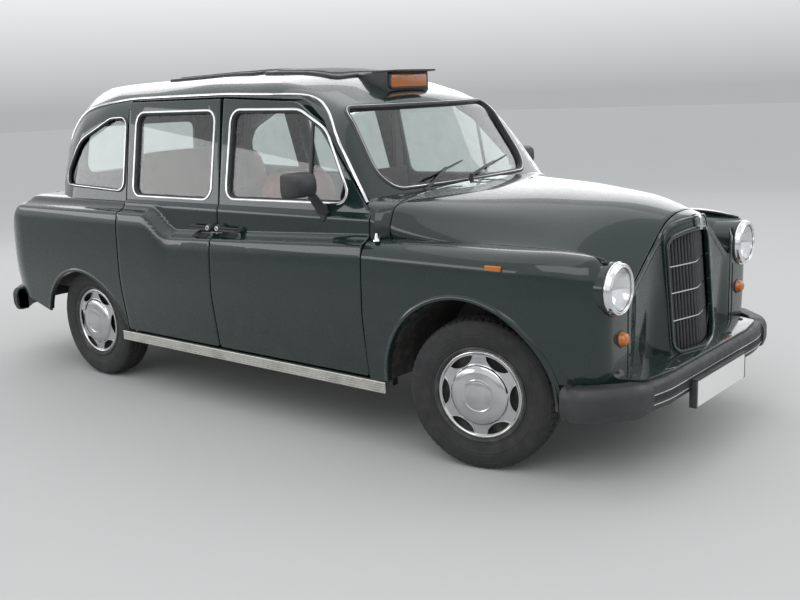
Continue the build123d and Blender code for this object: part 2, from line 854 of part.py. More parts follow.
def make_amber_lenses():
    """Front indicators and side repeaters of both sides, and the roof sign's lens."""
    y, z, radius = indicator
    lamp = rod((face_x, y, z), (face_x + 38, y, z), radius)
    lamp = fillet(lamp.edges().group_by(Axis.X)[-1], 16)
    x, z = repeater
    wing = wing_space(0)
    side = (block(x - 42, x + 42, 800, widest_y + 6, z - 12, z + 12)) - wing
    sign = block(sign_x[1], sign_x[1] + 8, -92, 92, 1640, 1700)
    return both_sides(lamp) + both_sides(side) + [sign]


def make_tail_lamp():
    """The left rear lamp cluster."""
    lamp = block(tail_face_x - 10, tail_face_x + 120, 600, 690, 560, 760)
    return lamp - tail_space(0)


# Roof sign, hatch, drip rails, sill trims and wipers

sign_x = (a_seam_x - 540, a_seam_x - 236)


def make_roof_sign():
    """The housing of the roof sign, on the slope above the windscreen."""
    rear, front = sign_x
    side = [
        (rear, 1600, 0),
        (rear, 1716, 0),
        (rear + 90, 1746, 40),
        (front - 20, 1750, 12),
        (front, 1715, 10),
        (front, 1625, 0),
        (front - 60, 1560, 0),
    ]
    plan = [
        (rear, -60, 30),
        (front - 110, -170, 50),
        (front, -150, 10),
        (front, 150, 10),
        (front - 110, 170, 50),
        (rear, 60, 30),
    ]
    return (prism_y(side, -200, 200) & prism_z(plan, 1500, 1800)) - cab_outside


hatches = [
    # rear x, front x, half-width, top z
    (c_seam_x - 150, b_seam_x - 180, 300, 1784),
    (b_seam_x - 140, b_seam_x + 420, 280, 1782),
]


def make_roof_hatches():
    """Two low hatches along the middle of the roof."""
    made = []
    for rear, front, half, top in hatches:
        slab = prism_z([(rear, -half, 60), (front, -half, 60), (front, half, 60), (rear, half, 60)],
                       1680, top)
        made.append(slab - cab_outside)
    return made


drip_path = [
    # x, z along the gutter above the doors
    (a_seam_x - 50, 1139),
    (a_seam_x - 360, 1507 + 12),
    (a_seam_x - 523, 1601 + 18),
    (b_seam_x - 56, rail_z + 14),
    (c_seam_x - 64, rail_z + 14),
    (c_seam_x - 594, 1574 + 18),
    (c_seam_x - 819, 1102 + 8),
]
drip_radii = (0, 150, 160, 300, 1200, 260, 0)
drip_width = 12


def make_drip_rail():
    """The bright gutter over the doors and down to the waist on the left."""
    low = [(x, z, r) for (x, z), r in zip(drip_path, drip_radii)]
    high = []
    middle_x = b_seam_x - 56
    for x, z, r in reversed(low):
        lean = drip_width * (x - middle_x) / 900
        high.append((x + lean, z + drip_width * 0.8, r))
    strip = prism_y(low + high, left_low, left_high)
    reach = 1730 - waist_z
    band = [(waist_y, waist_z), (waist_y - side_slope * reach, 1730)]
    outer = [(y + 9, z, 0) for y, z in band]
    inner = [(y - 30, z, 0) for y, z in reversed(band)]
    door_side = prism_x(side_band(-1, 40), tail_x, nose_x) & prism_y(front_door_outline(), left_low, left_high)
    return (strip & prism_x(outer + inner, tail_x, nose_x)) - cab_outside - door_side


sill_strip = (c_seam_x - 43, a_seam_x + 105)
sill_strip_z = (283, 337)


def make_sill_trim():
    """The ribbed strip below the left doors."""
    face = side_table[0][0] + 4
    low, high = sill_strip_z
    profile = [(face, low, 0), (face + 14, low, 4)]
    ribs = 5
    pitch = (high - low) / ribs
    for i in range(ribs - 1):
        z = low + pitch * (i + 1)
        profile += [(face + 14, z - 3, 0), (face + 10, z, 0), (face + 14, z + 3, 0)]
    profile += [(face + 14, high, 4), (face, high, 0)]
    strip = prism_x(profile, *sill_strip)
    back = block(a_seam_x + post_reach, sill_strip[1], face - 40, face, low, high)
    return strip + back


wiper_pivot_radius = 12
wiper_rows = [
    # pivot x, y and z of its top, blade's lower end y and z, blade's upper end y and z
    (scuttle_end_x - 46, -404, 1172, -350, 1205, 5, 1268),
    (scuttle_end_x - wiper_pivot_radius - 10, -59, 1213, 60, 1208, 450, 1262),
]
wiper_pivot_length = 53


def screen_point(y, z, out):
    """A point at a height out from the windscreen's glass."""
    rake = math.radians(screen_rake)
    sag = math.sqrt(screen_radius ** 2 - y ** 2) - screen_radius
    depth = (sag - glass_depth + out) / math.cos(rake)
    return (screen_middle[0] - (z - screen_middle[1]) * math.tan(rake) + depth, y, z)


def make_wiper(row, below):
    """A wiper: pivot, arm and blade, lying low on the glass."""
    x, y, top_z, low_y, low_z, high_y, high_z = row
    middle_y, middle_z = (low_y + high_y) / 2, (low_z + high_z) / 2
    arm = rod((x, y, top_z - 5), screen_point(middle_y, middle_z, 10), 5)
    blade = rod(screen_point(low_y, low_z, 14), screen_point(middle_y, middle_z, 14), 7)
    blade += rod(screen_point(middle_y, middle_z, 14), screen_point(high_y, high_z, 14), 7)
    pivot = rod((x, y, top_z - wiper_pivot_length), (x, y, top_z), wiper_pivot_radius)
    return (pivot - cab_outside + arm + blade) - below


# Under the body

rail_y0, rail_y1 = 300, 370
rail_profile = [
    # x, z, radius round the outline of a chassis rail
    (bumper_x - bumper_thick, 300, 0),
    (bumper_x - bumper_thick, 400, 0),
    (riser_x + 60, 400, 60),
    (rear_axle_x + 250, 575, 120),
    (rear_axle_x - 250, 575, 120),
    (rear_axle_x - 460, 455, 60),
    (tail_x + bumper_thick, 455, 0),
    (tail_x + bumper_thick, 375, 0),
    (rear_axle_x - 500, 375, 60),
    (rear_axle_x - 230, 490, 120),
    (rear_axle_x + 230, 490, 120),
    (riser_x + 20, 300, 60),
]
cross_xs = (front_axle_x + 500, 600, -60, -560, rear_axle_x - 640)
cross_z = 372


def make_chassis():
    """Two side rails, cross-members and outriggers to the sills."""
    frame = None
    for y0, y1 in ((rail_y0, rail_y1), (-rail_y1, -rail_y0)):
        rail = prism_y(rail_profile, y0, y1)
        frame = rail if frame is None else frame + rail
    for x in cross_xs:
        top = 400 if x > rear_axle_x else 402
        frame += block(x - 35, x + 35, -rail_y0, rail_y0, cross_z, top)
    for x in (a_seam_x - 40, b_seam_x, c_seam_x + 60):
        for y0, y1 in ((rail_y1, 700), (-700, -rail_y1)):
            frame += block(x - 30, x + 30, y0, y1, 362, 400)
    return frame


arm_z = (208, 468)
arm_thick = 24
kingpin_y = wheel_y - 71


def make_suspension():
    """The front cross-member, its towers and the wishbones of both sides."""
    x = front_axle_x
    frame = block(x - 60, x + 60, -rail_y1, rail_y1, arm_z[0] - 12, 300)
    for side in (-1, 1):
        t0, t1 = sorted((side * 310, side * rail_y1))
        frame += block(x - 60, x + 60, t0, t1, 400, 494)
        for z in arm_z:
            arm = [
                (x - 100, side * (rail_y1 - 20), 0),
                (x - 24, side * (kingpin_y + 22), 20),
                (x + 24, side * (kingpin_y + 22), 20),
                (x + 100, side * (rail_y1 - 20), 0),
            ]
            plate = prism_z(arm, z - arm_thick / 2, z + arm_thick / 2)
            slot = [
                (x - 62, side * (rail_y1 + 20), 10),
                (x, side * (kingpin_y - 60), 20),
                (x + 62, side * (rail_y1 + 20), 10),
            ]
            frame += plate - prism_z(slot, z - arm_thick, z + arm_thick)
    return frame


def make_driveline():
    """The engine as one plain block, the gearbox and the propeller shaft."""
    unit = block(front_axle_x - 395, front_axle_x + 245, -230, 230, 300, 850)
    unit += block(a_seam_x - 250, front_axle_x - 395, -120, 120, 240, 392)
    shaft = rod((a_seam_x - 250, 0, 305), (rear_axle_x + 141, 0, axle_z), 32)
    return unit + shaft


def make_rear_axle():
    """The axle tube, differential, brake drums, hubs and leaf springs."""
    axle = disc_y(rear_axle_x, axle_z, 42, -wheel_y + 60, wheel_y - 60)
    axle += Pos(rear_axle_x, 0, axle_z) * Sphere(140)
    for side in (-1, 1):
        d0, d1 = sorted((side * (wheel_y - 60), side * (wheel_y - 5)))
        h0, h1 = sorted((side * (wheel_y - 5), side * (wheel_y + disc_inside - rest_gap)))
        s0, s1 = sorted((side * 450, side * 510))
        axle += disc_y(rear_axle_x, axle_z, 120, d0, d1)
        axle += disc_y(rear_axle_x, axle_z, 36, h0, h1)
        spring = [
            (rear_axle_x + 600, 372, 0),
            (rear_axle_x + 300, 300, 300),
            (rear_axle_x - 300, 300, 300),
            (rear_axle_x - 500, 365, 0),
            (rear_axle_x - 500, 342, 0),
            (rear_axle_x - 290, 272, 300),
            (rear_axle_x + 290, 272, 300),
            (rear_axle_x + 600, 349, 0),
        ]
        axle += prism_y(spring, s0, s1)
        b0, b1 = sorted((side * rail_y1, side * 510))
        axle += block(rear_axle_x + 560, rear_axle_x + 600, b0, b1, 349, 392)
        axle += block(rear_axle_x - 500, rear_axle_x - 460, b0, b1, 342, 430)
    return axle


def make_exhaust():
    """The exhaust pipe, its silencer and its hangers."""
    y, z = -205, 262
    pipe = rod((front_axle_x - 400, y, z), (tail_x + 95, y, z), 24)
    pipe += rod((-260, y, z), (440, y, z), 72)
    for x in cross_xs[1:]:
        pipe += rod((x, y, z), (x, y, cross_z), 6)
    return pipe


def make_tank():
    """The fuel tank between the rails behind the rear axle."""
    tank = block(rear_axle_x - 760, rear_axle_x - 470, -90, 290, 300, cross_z)
    return fillet(tank.edges().filter_by(Axis.Z), 30)


# Wheels and steering

disc_inside = 18           # from the wheel's middle out to the inside of its disc
disc_thick = 10
barrel_half = 76


def around_y(table):
    """An (radius, y, corner) outline turned about the Y axis."""
    wire = rounded_wire([((u, v, 0), r) for u, v, r in table])
    return revolve(Face(wire), Axis.Y)


def make_tyre():
    """A tyre about the origin, its axis along Y."""
    half = tyre_width / 2
    edge = [
        (rim_radius, half - 26, 0),
        (rim_radius + 12, half - 14, 8),
        (rim_radius + 58, half, 50),
        (tyre_radius - 14, half - 12, 26),
        (tyre_radius, half - 34, 14),
    ]
    return around_y(edge + [(u, -v, r) for u, v, r in reversed(edge)])


slots = 6


def make_wheel():
    """Rim, disc and bright cover about the origin, outside facing +Y."""
    wall = 14
    lip = 10
    barrel = [
        (rim_radius - wall, -barrel_half, 0),
        (rim_radius + lip, -barrel_half, 0),
        (rim_radius + lip, -barrel_half + 3, 0),
        (rim_radius, -barrel_half + 4, 0),
        (rim_radius, barrel_half - 4, 0),
        (rim_radius + lip, barrel_half - 3, 0),
        (rim_radius + lip, barrel_half, 0),
        (rim_radius - wall, barrel_half, 0),
    ]
    wheel = around_y(barrel)
    wheel += disc_y(0, 0, rim_radius - wall, disc_inside, disc_inside + disc_thick)
    cover = [
        (0, disc_inside + disc_thick, 0),
        (rim_radius - wall, disc_inside + disc_thick, 0),
        (rim_radius - wall, barrel_half - 14, 0),
        (rim_radius - 60, barrel_half - 20, 20),
        (rim_radius - 70, barrel_half + 2, 20),
        (80, barrel_half + 14, 60),
        (0, barrel_half + 14, 0),
    ]
    cover = around_y(cover)
    for i in range(slots):
        angle = 2 * math.pi * i / slots
        middle = rim_radius - 36
        hole = Rot(0, -math.degrees(angle), 0) * Pos(middle, barrel_half, 0) * Box(30, 60, 78)
        cover -= hole
    return wheel + cover


wheel_places = {
    "front_left": (front_axle_x, 1, rest_steer),
    "front_right": (front_axle_x, -1, rest_steer),
    "rear_left": (rear_axle_x, 1, 0),
    "rear_right": (rear_axle_x, -1, 0),
}
kingpin_offset = wheel_y - kingpin_y


def at_wheel(x, side, steer):
    """Where a left-hand wheel's own frame goes, turned about its kingpin."""
    turn = Rot(0, 0, steer)
    outward = Rot(0, 0, 0) if side > 0 else Rot(0, 0, 180)
    return Pos(x, side * kingpin_y, axle_z) * turn * Pos(0, side * kingpin_offset, 0) * outward


steer_arm = 120
drum_radius = 112
steer_arm_z = (258.5, 274)


def make_knuckle(side):
    """A front knuckle: kingpin post, stub axle, brake drum and steering arm."""
    low = arm_z[0] + arm_thick / 2 + rest_gap
    high = arm_z[1] - arm_thick / 2 - rest_gap
    post = rod((0, 0, low - axle_z), (0, 0, high - axle_z), 18)
    stub_end = kingpin_offset + disc_inside - rest_gap
    y0, y1 = sorted((0, side * stub_end))
    d0, d1 = sorted((side * (kingpin_offset - 44), side * (kingpin_offset + 10)))
    knuckle = post + rod((0, y0, 0), (0, y1, 0), 30) + rod((0, d0, 0), (0, d1, 0), drum_radius)
    arm = block(-steer_arm, 0, -14, 14, steer_arm_z[0] - axle_z, steer_arm_z[1] - axle_z)
    arm += rod((-steer_arm, 0, steer_arm_z[0] - axle_z), (-steer_arm, 0, steer_arm_z[1] - axle_z), 16)
    return Pos(front_axle_x, side * kingpin_y, axle_z) * Rot(0, 0, rest_steer) * (knuckle + arm)


def make_track_rod():
    """The rod that joins the two steering arms."""
    angle = math.radians(rest_steer)
    x = front_axle_x - steer_arm * math.cos(angle)
    shift = -steer_arm * math.sin(angle)
    top = steer_arm_z[0] - rest_gap
    z = top - 10
    ends = [(x, side * kingpin_y + shift) for side in (-1, 1)]
    bar = rod((x, ends[0][1], z), (x, ends[1][1], z), 8)
    for ex, ey in ends:
        bar += rod((ex, ey, z - 10), (ex, ey, top), 16)
    return bar


# Interior

wheel_centre = (a_seam_x - 412, -370, 1060)     # steering wheel
column_foot = (bulkhead_x, -370, 700)
steering_radius = 200


def column_axis():
    """Unit vector from the steering wheel down its column."""
    return (Vector(*column_foot) - Vector(*wheel_centre)).normalized()


def make_steering_wheel():
    """Rim, two spokes and hub."""
    down = column_axis()
    plane = Plane(origin=wheel_centre, x_dir=(0, 1, 0), z_dir=down * -1)
    wheel = Torus(steering_radius - 13, 13)
    wheel += Box(2 * steering_radius - 26, 34, 12)
    wheel += Cylinder(52, 36)
    return plane * wheel


def make_dashboard():
    """The dashboard across the cab, its brace to the bulkhead, and the steering column."""
    side = [
        (a_seam_x - 140, 880, 30),
        (a_seam_x - 100, 840, 0),
        (a_seam_x - 5, 840, 0),
        (a_seam_x - 5, 1078, 0),
        (a_seam_x - 110, 1078, 40),
        (a_seam_x - 140, 1040, 20),
    ]
    dash = prism_y(side, -660, 660)
    dash += block(a_seam_x - 5, bulkhead_x, -620, 620, 880, 960)
    start = Vector(*wheel_centre) + column_axis() * (18 + rest_gap)
    dash += rod(start, Vector(*column_foot) - column_axis() * 30, 26) - block(
        bulkhead_x, nose_x, -900, 900, 300, 1300)
    dash += block(bulkhead_x - 60, bulkhead_x, -410, -330, 670, 760)
    return dash


cushion_thick = 150
partition_x = b_seam_x + 84
partition_top_z = 1180


def seat(x0, x1, y0, y1, base_z, top_z, back_top_z, lean):
    """A seat: plinth, cushion and leaning back, in one solid."""
    pan = block(x0 + 60, x1 - 40, y0 + 20, y1 - 20, base_z, top_z - cushion_thick)
    cushion = fillet(block(x0, x1, y0, y1, top_z - cushion_thick, top_z).edges(), 25)
    back = prism_y([
        (x0, top_z - cushion_thick, 25),
        (x0 + 120, top_z - cushion_thick, 0),
        (x0 + 120 - lean, back_top_z, 40),
        (x0 - lean, back_top_z, 40),
    ], y0, y1)
    return pan + cushion + back


def make_seats():
    """The driver's seat, the rear bench, and two tip-up seats folded against the partition."""
    top = floor_z + floor_plate
    driver = seat(partition_x + 110, partition_x + 600, -620, -130, top, 690, 1240, 70)
    bench = seat(rear_axle_x + 110, rear_axle_x + 560, -560, 560, seat_pan_z + floor_plate, 840, 1330, 90)
    tips = []
    for y in (-290, 290):
        fold = block(partition_x - 90, partition_x - 20, y - 200, y + 200, 520, 960)
        tips.append(fillet(fold.edges(), 20))
    return [driver, bench] + tips


def make_partition():
    """The wall behind the driver, below its window, with a frame round the window."""
    wall = block(partition_x - 20, partition_x, -floor_y + 12, floor_y - 12,
                 floor_z + floor_plate, partition_top_z)
    hoop = block(partition_x - 20, partition_x, -650, 650, partition_top_z, 1650)
    hoop -= block(partition_x - 30, partition_x + 10, -580, 580, partition_top_z, 1610)
    clear = frame_depth + frame_width
    cabin = prism_x(mirrored([(y - clear, z, r) for y, z, r in side_table]), tail_x, nose_x)
    return (wall & cabin) + (hoop & cab_inside & cabin)


def make_partition_glass():
    """The window in the partition."""
    return block(partition_x - 13, partition_x - 7, -580, 580, partition_top_z, 1610) & cab_inside


if __name__ == "__main__":
    os.makedirs("parts", exist_ok=True)
    write("cab_shell", [make_cab()])
    write("door_frames", both_sides(make_door_frames()))
    write_pair("front_door", make_door(front_door_outline, front_window))
    write_pair("rear_door", make_door(rear_door_outline, rear_window, shoulder=True))
    write_pair("front_door_glass", glass_pane(front_window, door_thickness / 2))
    write_pair("rear_door_glass", glass_pane(rear_window, door_thickness / 2))
    front_handle = make_handle(b_seam_x + 12, b_seam_x + 188)
    write_pair("front_door_fittings", Compound([*front_handle.solids(), *make_mirror().solids()]))
    write_pair("rear_door_handle", make_handle(b_seam_x - 188, b_seam_x - 12))
    quarter_glass = glass_pane(quarter_window, shell / 2)
    write("fixed_glass", [*make_screen_glass(), *both_sides(quarter_glass), make_partition_glass()])
    write("floor_pan", [make_floor_pan()])
    scuttle = make_scuttle()
    write("scuttle", [scuttle])
    write("bonnet", [make_bonnet()])
    write("front_wings", both_sides(make_front_wing()))
    write("front_panel", [make_front_panel()])
    write("grille", [make_grille()])
    boot_lid, tail_panel, rear_wing = make_tail()
    write("boot_lid", [boot_lid])
    write("tail_panel", [tail_panel])
    write("rear_wings", both_sides(rear_wing))
    write("front_bumper", [make_front_bumper()])
    write("rear_bumper", [make_rear_bumper()])
    front_plate, rear_plate = make_plates()
    write("front_plate", [front_plate])
    write("rear_plate", [rear_plate])
    write("headlamp_rings", both_sides(make_headlamp_ring()))
    write("headlamp_lenses", both_sides(make_headlamp_lens()))
    write("amber_lenses", make_amber_lenses())
    write("tail_lamps", both_sides(make_tail_lamp()))
    write("roof_sign", [make_roof_sign()])
    write("roof_hatches", make_roof_hatches())
    write("drip_rails", both_sides(make_drip_rail()))
    write("sill_trims", both_sides(make_sill_trim()))
    wipers = [make_wiper(row, scuttle) for row in wiper_rows]
    write("wipers", wipers)
    write("chassis_frame", [make_chassis()])
    write("front_suspension", [make_suspension()])
    write("driveline", [make_driveline()])
    write("rear_axle", [make_rear_axle()])
    write("exhaust", [make_exhaust()])
    write("fuel_tank", [make_tank()])
    write("dashboard", [make_dashboard()])
    write("seats", make_seats())
    write("partition", [make_partition()])
    write("steering_wheel", [make_steering_wheel()])
    write("track_rod", [make_track_rod()])
    tyre, wheel = make_tyre(), make_wheel()
    for name, (x, side, steer) in wheel_places.items():
        write(f"tyre_{name}", [at_wheel(x, side, steer) * tyre])
        write(f"wheel_{name}", [at_wheel(x, side, steer) * wheel])
    write("knuckle_left", [make_knuckle(1)])
    write("knuckle_right", [make_knuckle(-1)])
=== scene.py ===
import json

import bmesh
import bpy
import numpy as np
from math import acos, asin, ceil, copysign, cos, degrees, hypot, pi, radians, sin, sqrt, tan
from mathutils import Matrix, Vector


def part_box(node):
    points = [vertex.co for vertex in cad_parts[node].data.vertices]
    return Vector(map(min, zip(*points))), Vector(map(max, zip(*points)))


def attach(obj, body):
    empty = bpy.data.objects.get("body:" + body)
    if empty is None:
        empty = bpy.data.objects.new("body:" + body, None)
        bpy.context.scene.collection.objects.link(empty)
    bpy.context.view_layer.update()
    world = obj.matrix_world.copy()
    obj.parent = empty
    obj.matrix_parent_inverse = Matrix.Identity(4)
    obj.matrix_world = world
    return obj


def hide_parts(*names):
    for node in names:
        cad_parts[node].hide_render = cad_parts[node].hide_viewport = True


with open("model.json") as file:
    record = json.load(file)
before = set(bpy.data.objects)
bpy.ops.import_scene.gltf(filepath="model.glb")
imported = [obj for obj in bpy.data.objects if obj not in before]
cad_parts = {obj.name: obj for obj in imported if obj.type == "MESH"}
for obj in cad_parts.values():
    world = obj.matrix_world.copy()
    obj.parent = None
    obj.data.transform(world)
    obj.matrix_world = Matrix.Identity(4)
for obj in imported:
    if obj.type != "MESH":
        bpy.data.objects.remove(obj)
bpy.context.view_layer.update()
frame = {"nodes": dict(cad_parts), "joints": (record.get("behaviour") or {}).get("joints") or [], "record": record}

bl_info = {
    "name": "Taxi cab",
    "version": (1, 0, 0),
    "blender": (4, 5, 0),
    "location": "3D View > Sidebar > Taxi cab",
    "description": "Dresses the fixed frame of a taxi cab with its paint, glass, trim and tyres",
    "category": "Object",
}

slot_of_node = {row["node"]: row["material_slot"] for row in frame["record"]["subparts"]}


# Node helpers

def shader(name, color, roughness, **sockets):
    """A material whose even values are set on its Principled shader."""
    made = bpy.data.materials.new(name)
    made.use_nodes = True
    tree = made.node_tree
    principled = tree.nodes["Principled BSDF"]
    principled.inputs["Base Color"].default_value = (*color, 1)
    principled.inputs["Roughness"].default_value = roughness
    for socket, value in sockets.items():
        principled.inputs[socket.replace("_", " ")].default_value = value
    return made, tree, principled


def node(tree, kind, inputs, output, **settings):
    """One output of a new shader node, with its settings made and its inputs set or linked."""
    made = tree.nodes.new("ShaderNode" + kind)
    for name, value in settings.items():
        setattr(made, name, value)
    for key, value in inputs.items():
        if isinstance(value, bpy.types.NodeSocket):
            tree.links.new(value, made.inputs[key])
        else:
            made.inputs[key].default_value = value
    return made.outputs[output]


def place(tree):
    """Texture places in metres, fixed to the piece."""
    return node(tree, "TexCoord", {}, "Object")


def cloud(tree, scale, detail=3.0, stretch=None):
    """Soft noise at a scale in cycles per metre, stretched along the axes where asked."""
    vector = place(tree)
    if stretch:
        vector = node(tree, "Mapping", {"Scale": stretch, "Vector": vector}, "Vector")
    return node(tree, "TexNoise", {"Scale": scale, "Detail": detail, "Vector": vector}, "Fac")


def height_above(tree):
    """Height above the ground, in metres."""
    return node(tree, "SeparateXYZ", {"Vector": place(tree)}, "Z")


def spread(tree, factor, low, high, start=0.0, end=1.0):
    """A value from start to end as the factor goes from low to high."""
    return node(tree, "MapRange", {"From Min": low, "From Max": high, "To Min": start, "To Max": end,
                                   "Value": factor}, "Result")


def times(tree, a, b, operation="MULTIPLY"):
    """Two values combined."""
    return node(tree, "Math", {0: a, 1: b}, "Value", operation=operation, use_clamp=True)


def blend_colors(tree, factor, first, second):
    """Colour that goes from the first to the second with a varying factor."""
    first, second = ((*c, 1) if isinstance(c, tuple) else c for c in (first, second))
    return node(tree, "Mix", {"Factor": factor, "A": first, "B": second}, "Result", data_type="RGBA")


def relief(tree, principled, height, depth, strength=1.0):
    """Bump from a height, its depth in metres."""
    normal = node(tree, "Bump", {"Strength": strength, "Distance": depth, "Height": height}, "Normal")
    tree.links.new(normal, principled.inputs["Normal"])


# Finishes

DUST = (0.19, 0.17, 0.14)


def vary_base(tree, principled, factor, color, by):
    """Let the base colour go from a colour to the same colour times a number."""
    varied = blend_colors(tree, factor, color, tuple(c * by for c in color))
    tree.links.new(varied, principled.inputs["Base Color"])


def paint_finish(name, color):
    """Gloss coach paint: faint orange peel, uneven polish, and road dust towards the sills."""
    made, tree, principled = shader(
        name, color, 0.3, Coat_Weight=1.0, Coat_Roughness=0.03, Specular_IOR_Level=0.12)
    low = spread(tree, height_above(tree), 0.72, 0.3)
    dusty = times(tree, low, spread(tree, cloud(tree, 9, 5), 0.38, 0.72, 0.0, 0.06))
    deep = blend_colors(tree, cloud(tree, 2.2, 2), color, tuple(c * 1.25 for c in color))
    tree.links.new(blend_colors(tree, dusty, deep, DUST), principled.inputs["Base Color"])
    worn = times(tree, spread(tree, cloud(tree, 34, 4), 0.3, 0.75, 0.2, 0.34), dusty, "ADD")
    tree.links.new(worn, principled.inputs["Roughness"])
    relief(tree, principled, cloud(tree, 30, 1), 0.0006, 0.02)
    return made


def glass_finish(name, tint):
    """Clear glass with a faint film of dirt."""
    made, tree, principled = shader(name, tint, 0.0, Transmission_Weight=1.0, IOR=1.45)
    vary_base(tree, principled, spread(tree, cloud(tree, 14, 5), 0.4, 0.8), tint, 0.93)
    return made


def lens_finish(name, color):
    """Moulded lamp plastic with fine upright flutes."""
    made, tree, principled = shader(
        name, color, 0.12, Transmission_Weight=0.35, IOR=1.49, Coat_Weight=0.6)
    flutes = node(tree, "TexWave", {"Scale": 52, "Vector": place(tree)}, "Fac", bands_direction="Y")
    relief(tree, principled, flutes, 0.0012, 0.5)
    vary_base(tree, principled, cloud(tree, 26, 3), color, 0.8)
    return made


def metal_finish(name, color, roughness, grain=None, pits=0.12):
    """Bright or brushed metal with small stains and pits."""
    made, tree, principled = shader(name, color, roughness, Metallic=1.0)
    stain = spread(tree, cloud(tree, 42, 5, grain), 0.4, 0.78, roughness, roughness + pits)
    tree.links.new(stain, principled.inputs["Roughness"])
    vary_base(tree, principled, spread(tree, cloud(tree, 12, 4), 0.45, 0.85), color, 0.72)
    relief(tree, principled, cloud(tree, 320, 3, grain), 0.0002, 0.12)
    return made


def grained_finish(name, color, roughness, grain_scale=620, depth=0.0004, dust=0.35, spread_to=1.7):
    """Moulded plastic, rubber or vinyl with a fine grain, faded and dusty in patches."""
    made, tree, principled = shader(name, color, roughness)
    faded = blend_colors(tree, spread(tree, cloud(tree, 7, 5), 0.35, 0.75), color,
                         tuple(c * spread_to for c in color))
    dusty = spread(tree, cloud(tree, 21, 6), 0.45, 0.9, 0.0, dust)
    tree.links.new(blend_colors(tree, dusty, faded, DUST), principled.inputs["Base Color"])
    tree.links.new(spread(tree, cloud(tree, 30, 4), 0.3, 0.8, roughness - 0.08, roughness + 0.12),
                   principled.inputs["Roughness"])
    relief(tree, principled, cloud(tree, grain_scale, 2), depth, 0.35)
    return made


def plate_finish(name, color):
    """Even, lightly weathered plate plastic."""
    made, tree, principled = shader(name, color, 0.34)
    vary_base(tree, principled, cloud(tree, 5, 2), color, 0.95)
    relief(tree, principled, cloud(tree, 60, 1), 0.0002, 0.05)
    return made


def seat_finish(name, color):
    """Seat vinyl with a soft sheen and fine leather grain."""
    made, tree, principled = shader(name, color, 0.46, Coat_Weight=0.15, Coat_Roughness=0.4)
    grain = node(tree, "TexVoronoi", {"Scale": 260, "Vector": place(tree)}, "Distance")
    relief(tree, principled, grain, 0.0006, 0.4)
    vary_base(tree, principled, cloud(tree, 6, 4), color, 0.62)
    return made


finishes = {}
GREEN, BLACK, BRIGHT = "green_paint", "black_plastic", "bright_trim"


def make_finishes(look):
    """Every finish of the cab, by the record's slot."""
    rows = {
        GREEN: (paint_finish, tuple(look.paint)),
        "window_glass": (glass_finish, (0.9, 0.96, 0.94)),
        "lamp_glass": (glass_finish, (0.97, 0.97, 0.97)),
        "amber_lens": (lens_finish, tuple(look.amber)),
        "red_lens": (lens_finish, (0.42, 0.012, 0.01)),
        BRIGHT: (metal_finish, (0.8, 0.81, 0.82), 0.07),
        "sill_aluminium": (metal_finish, (0.62, 0.61, 0.58), 0.3, (1, 30, 30)),
        BLACK: (grained_finish, (0.024, 0.025, 0.027), 0.5, 620, 0.0004, 0.1, 1.4),
        "plate_white": (plate_finish, (0.74, 0.74, 0.72)),
        "plate_yellow": (plate_finish, (0.78, 0.55, 0.05)),
        "chassis_black": (grained_finish, (0.022, 0.022, 0.022), 0.6, 240, 0.0008, 0.6),
        "engine_iron": (grained_finish, (0.09, 0.09, 0.088), 0.62, 260, 0.0012, 0.5),
        "exhaust_steel": (metal_finish, (0.24, 0.2, 0.16), 0.5, None, 0.3),
        "cabin_trim": (grained_finish, (0.045, 0.042, 0.042), 0.58, 420, 0.0005, 0.2),
        "seat_vinyl": (seat_finish, tuple(look.seat)),
        "tyre_rubber": (grained_finish, (0.017, 0.017, 0.018), 0.74, 380, 0.0006, 0.1, 1.4),
        "wheel_chrome": (metal_finish, (0.56, 0.56, 0.57), 0.05, None, 0.05)}
    for slot, (finish, *values) in rows.items():
        finishes[slot] = finish(slot, *values)


# Camera of the photograph, in metres and degrees

CAMERA_PLACE = (3.9116, -4.1104, 1.6283)
CAMERA_YAW = 129.96
CAMERA_PITCH = -11.88
CAMERA_ROLL = -2.38
FOCAL_PIXELS = 986.63
PICTURE_WIDTH = 800
SENSOR = 36.0


def camera_matrix():
    """The camera's place and turn as it stood for the photograph."""
    yaw, pitch, roll = (radians(v) for v in (CAMERA_YAW, CAMERA_PITCH, CAMERA_ROLL))
    ahead = Vector((cos(pitch) * cos(yaw), cos(pitch) * sin(yaw), sin(pitch)))
    level = ahead.cross(Vector((0, 0, 1))).normalized()
    upright = level.cross(ahead)
    right = cos(roll) * level + sin(roll) * upright
    up = -sin(roll) * level + cos(roll) * upright
    turn = Matrix((right, up, -ahead)).transposed().to_4x4()
    return Matrix.Translation(CAMERA_PLACE) @ turn


# Softboxes: name, place, size, power in watts, and whether it lights as well as being mirrored
SOFTBOXES = [
    ("key", (3.5, -5.5, 5.5), (7.0, 4.0), 140, True),
    ("fill", (6.5, 3.5, 4.5), (4.0, 3.0), 90, True),
    ("over", (-0.5, 0.0, 7.0), (10.0, 6.0), 100, True),
    ("behind", (-6.5, 2.5, 4.5), (4.0, 3.0), 70, True),
    ("sky", (-3.8, 8.6, 4.4), (16.0, 6.4), 320, False),
    ("strip", (-5.8, -7.4, 2.7), (11.0, 1.5), 110, False),
]


HORIZON_TONE = 0.455


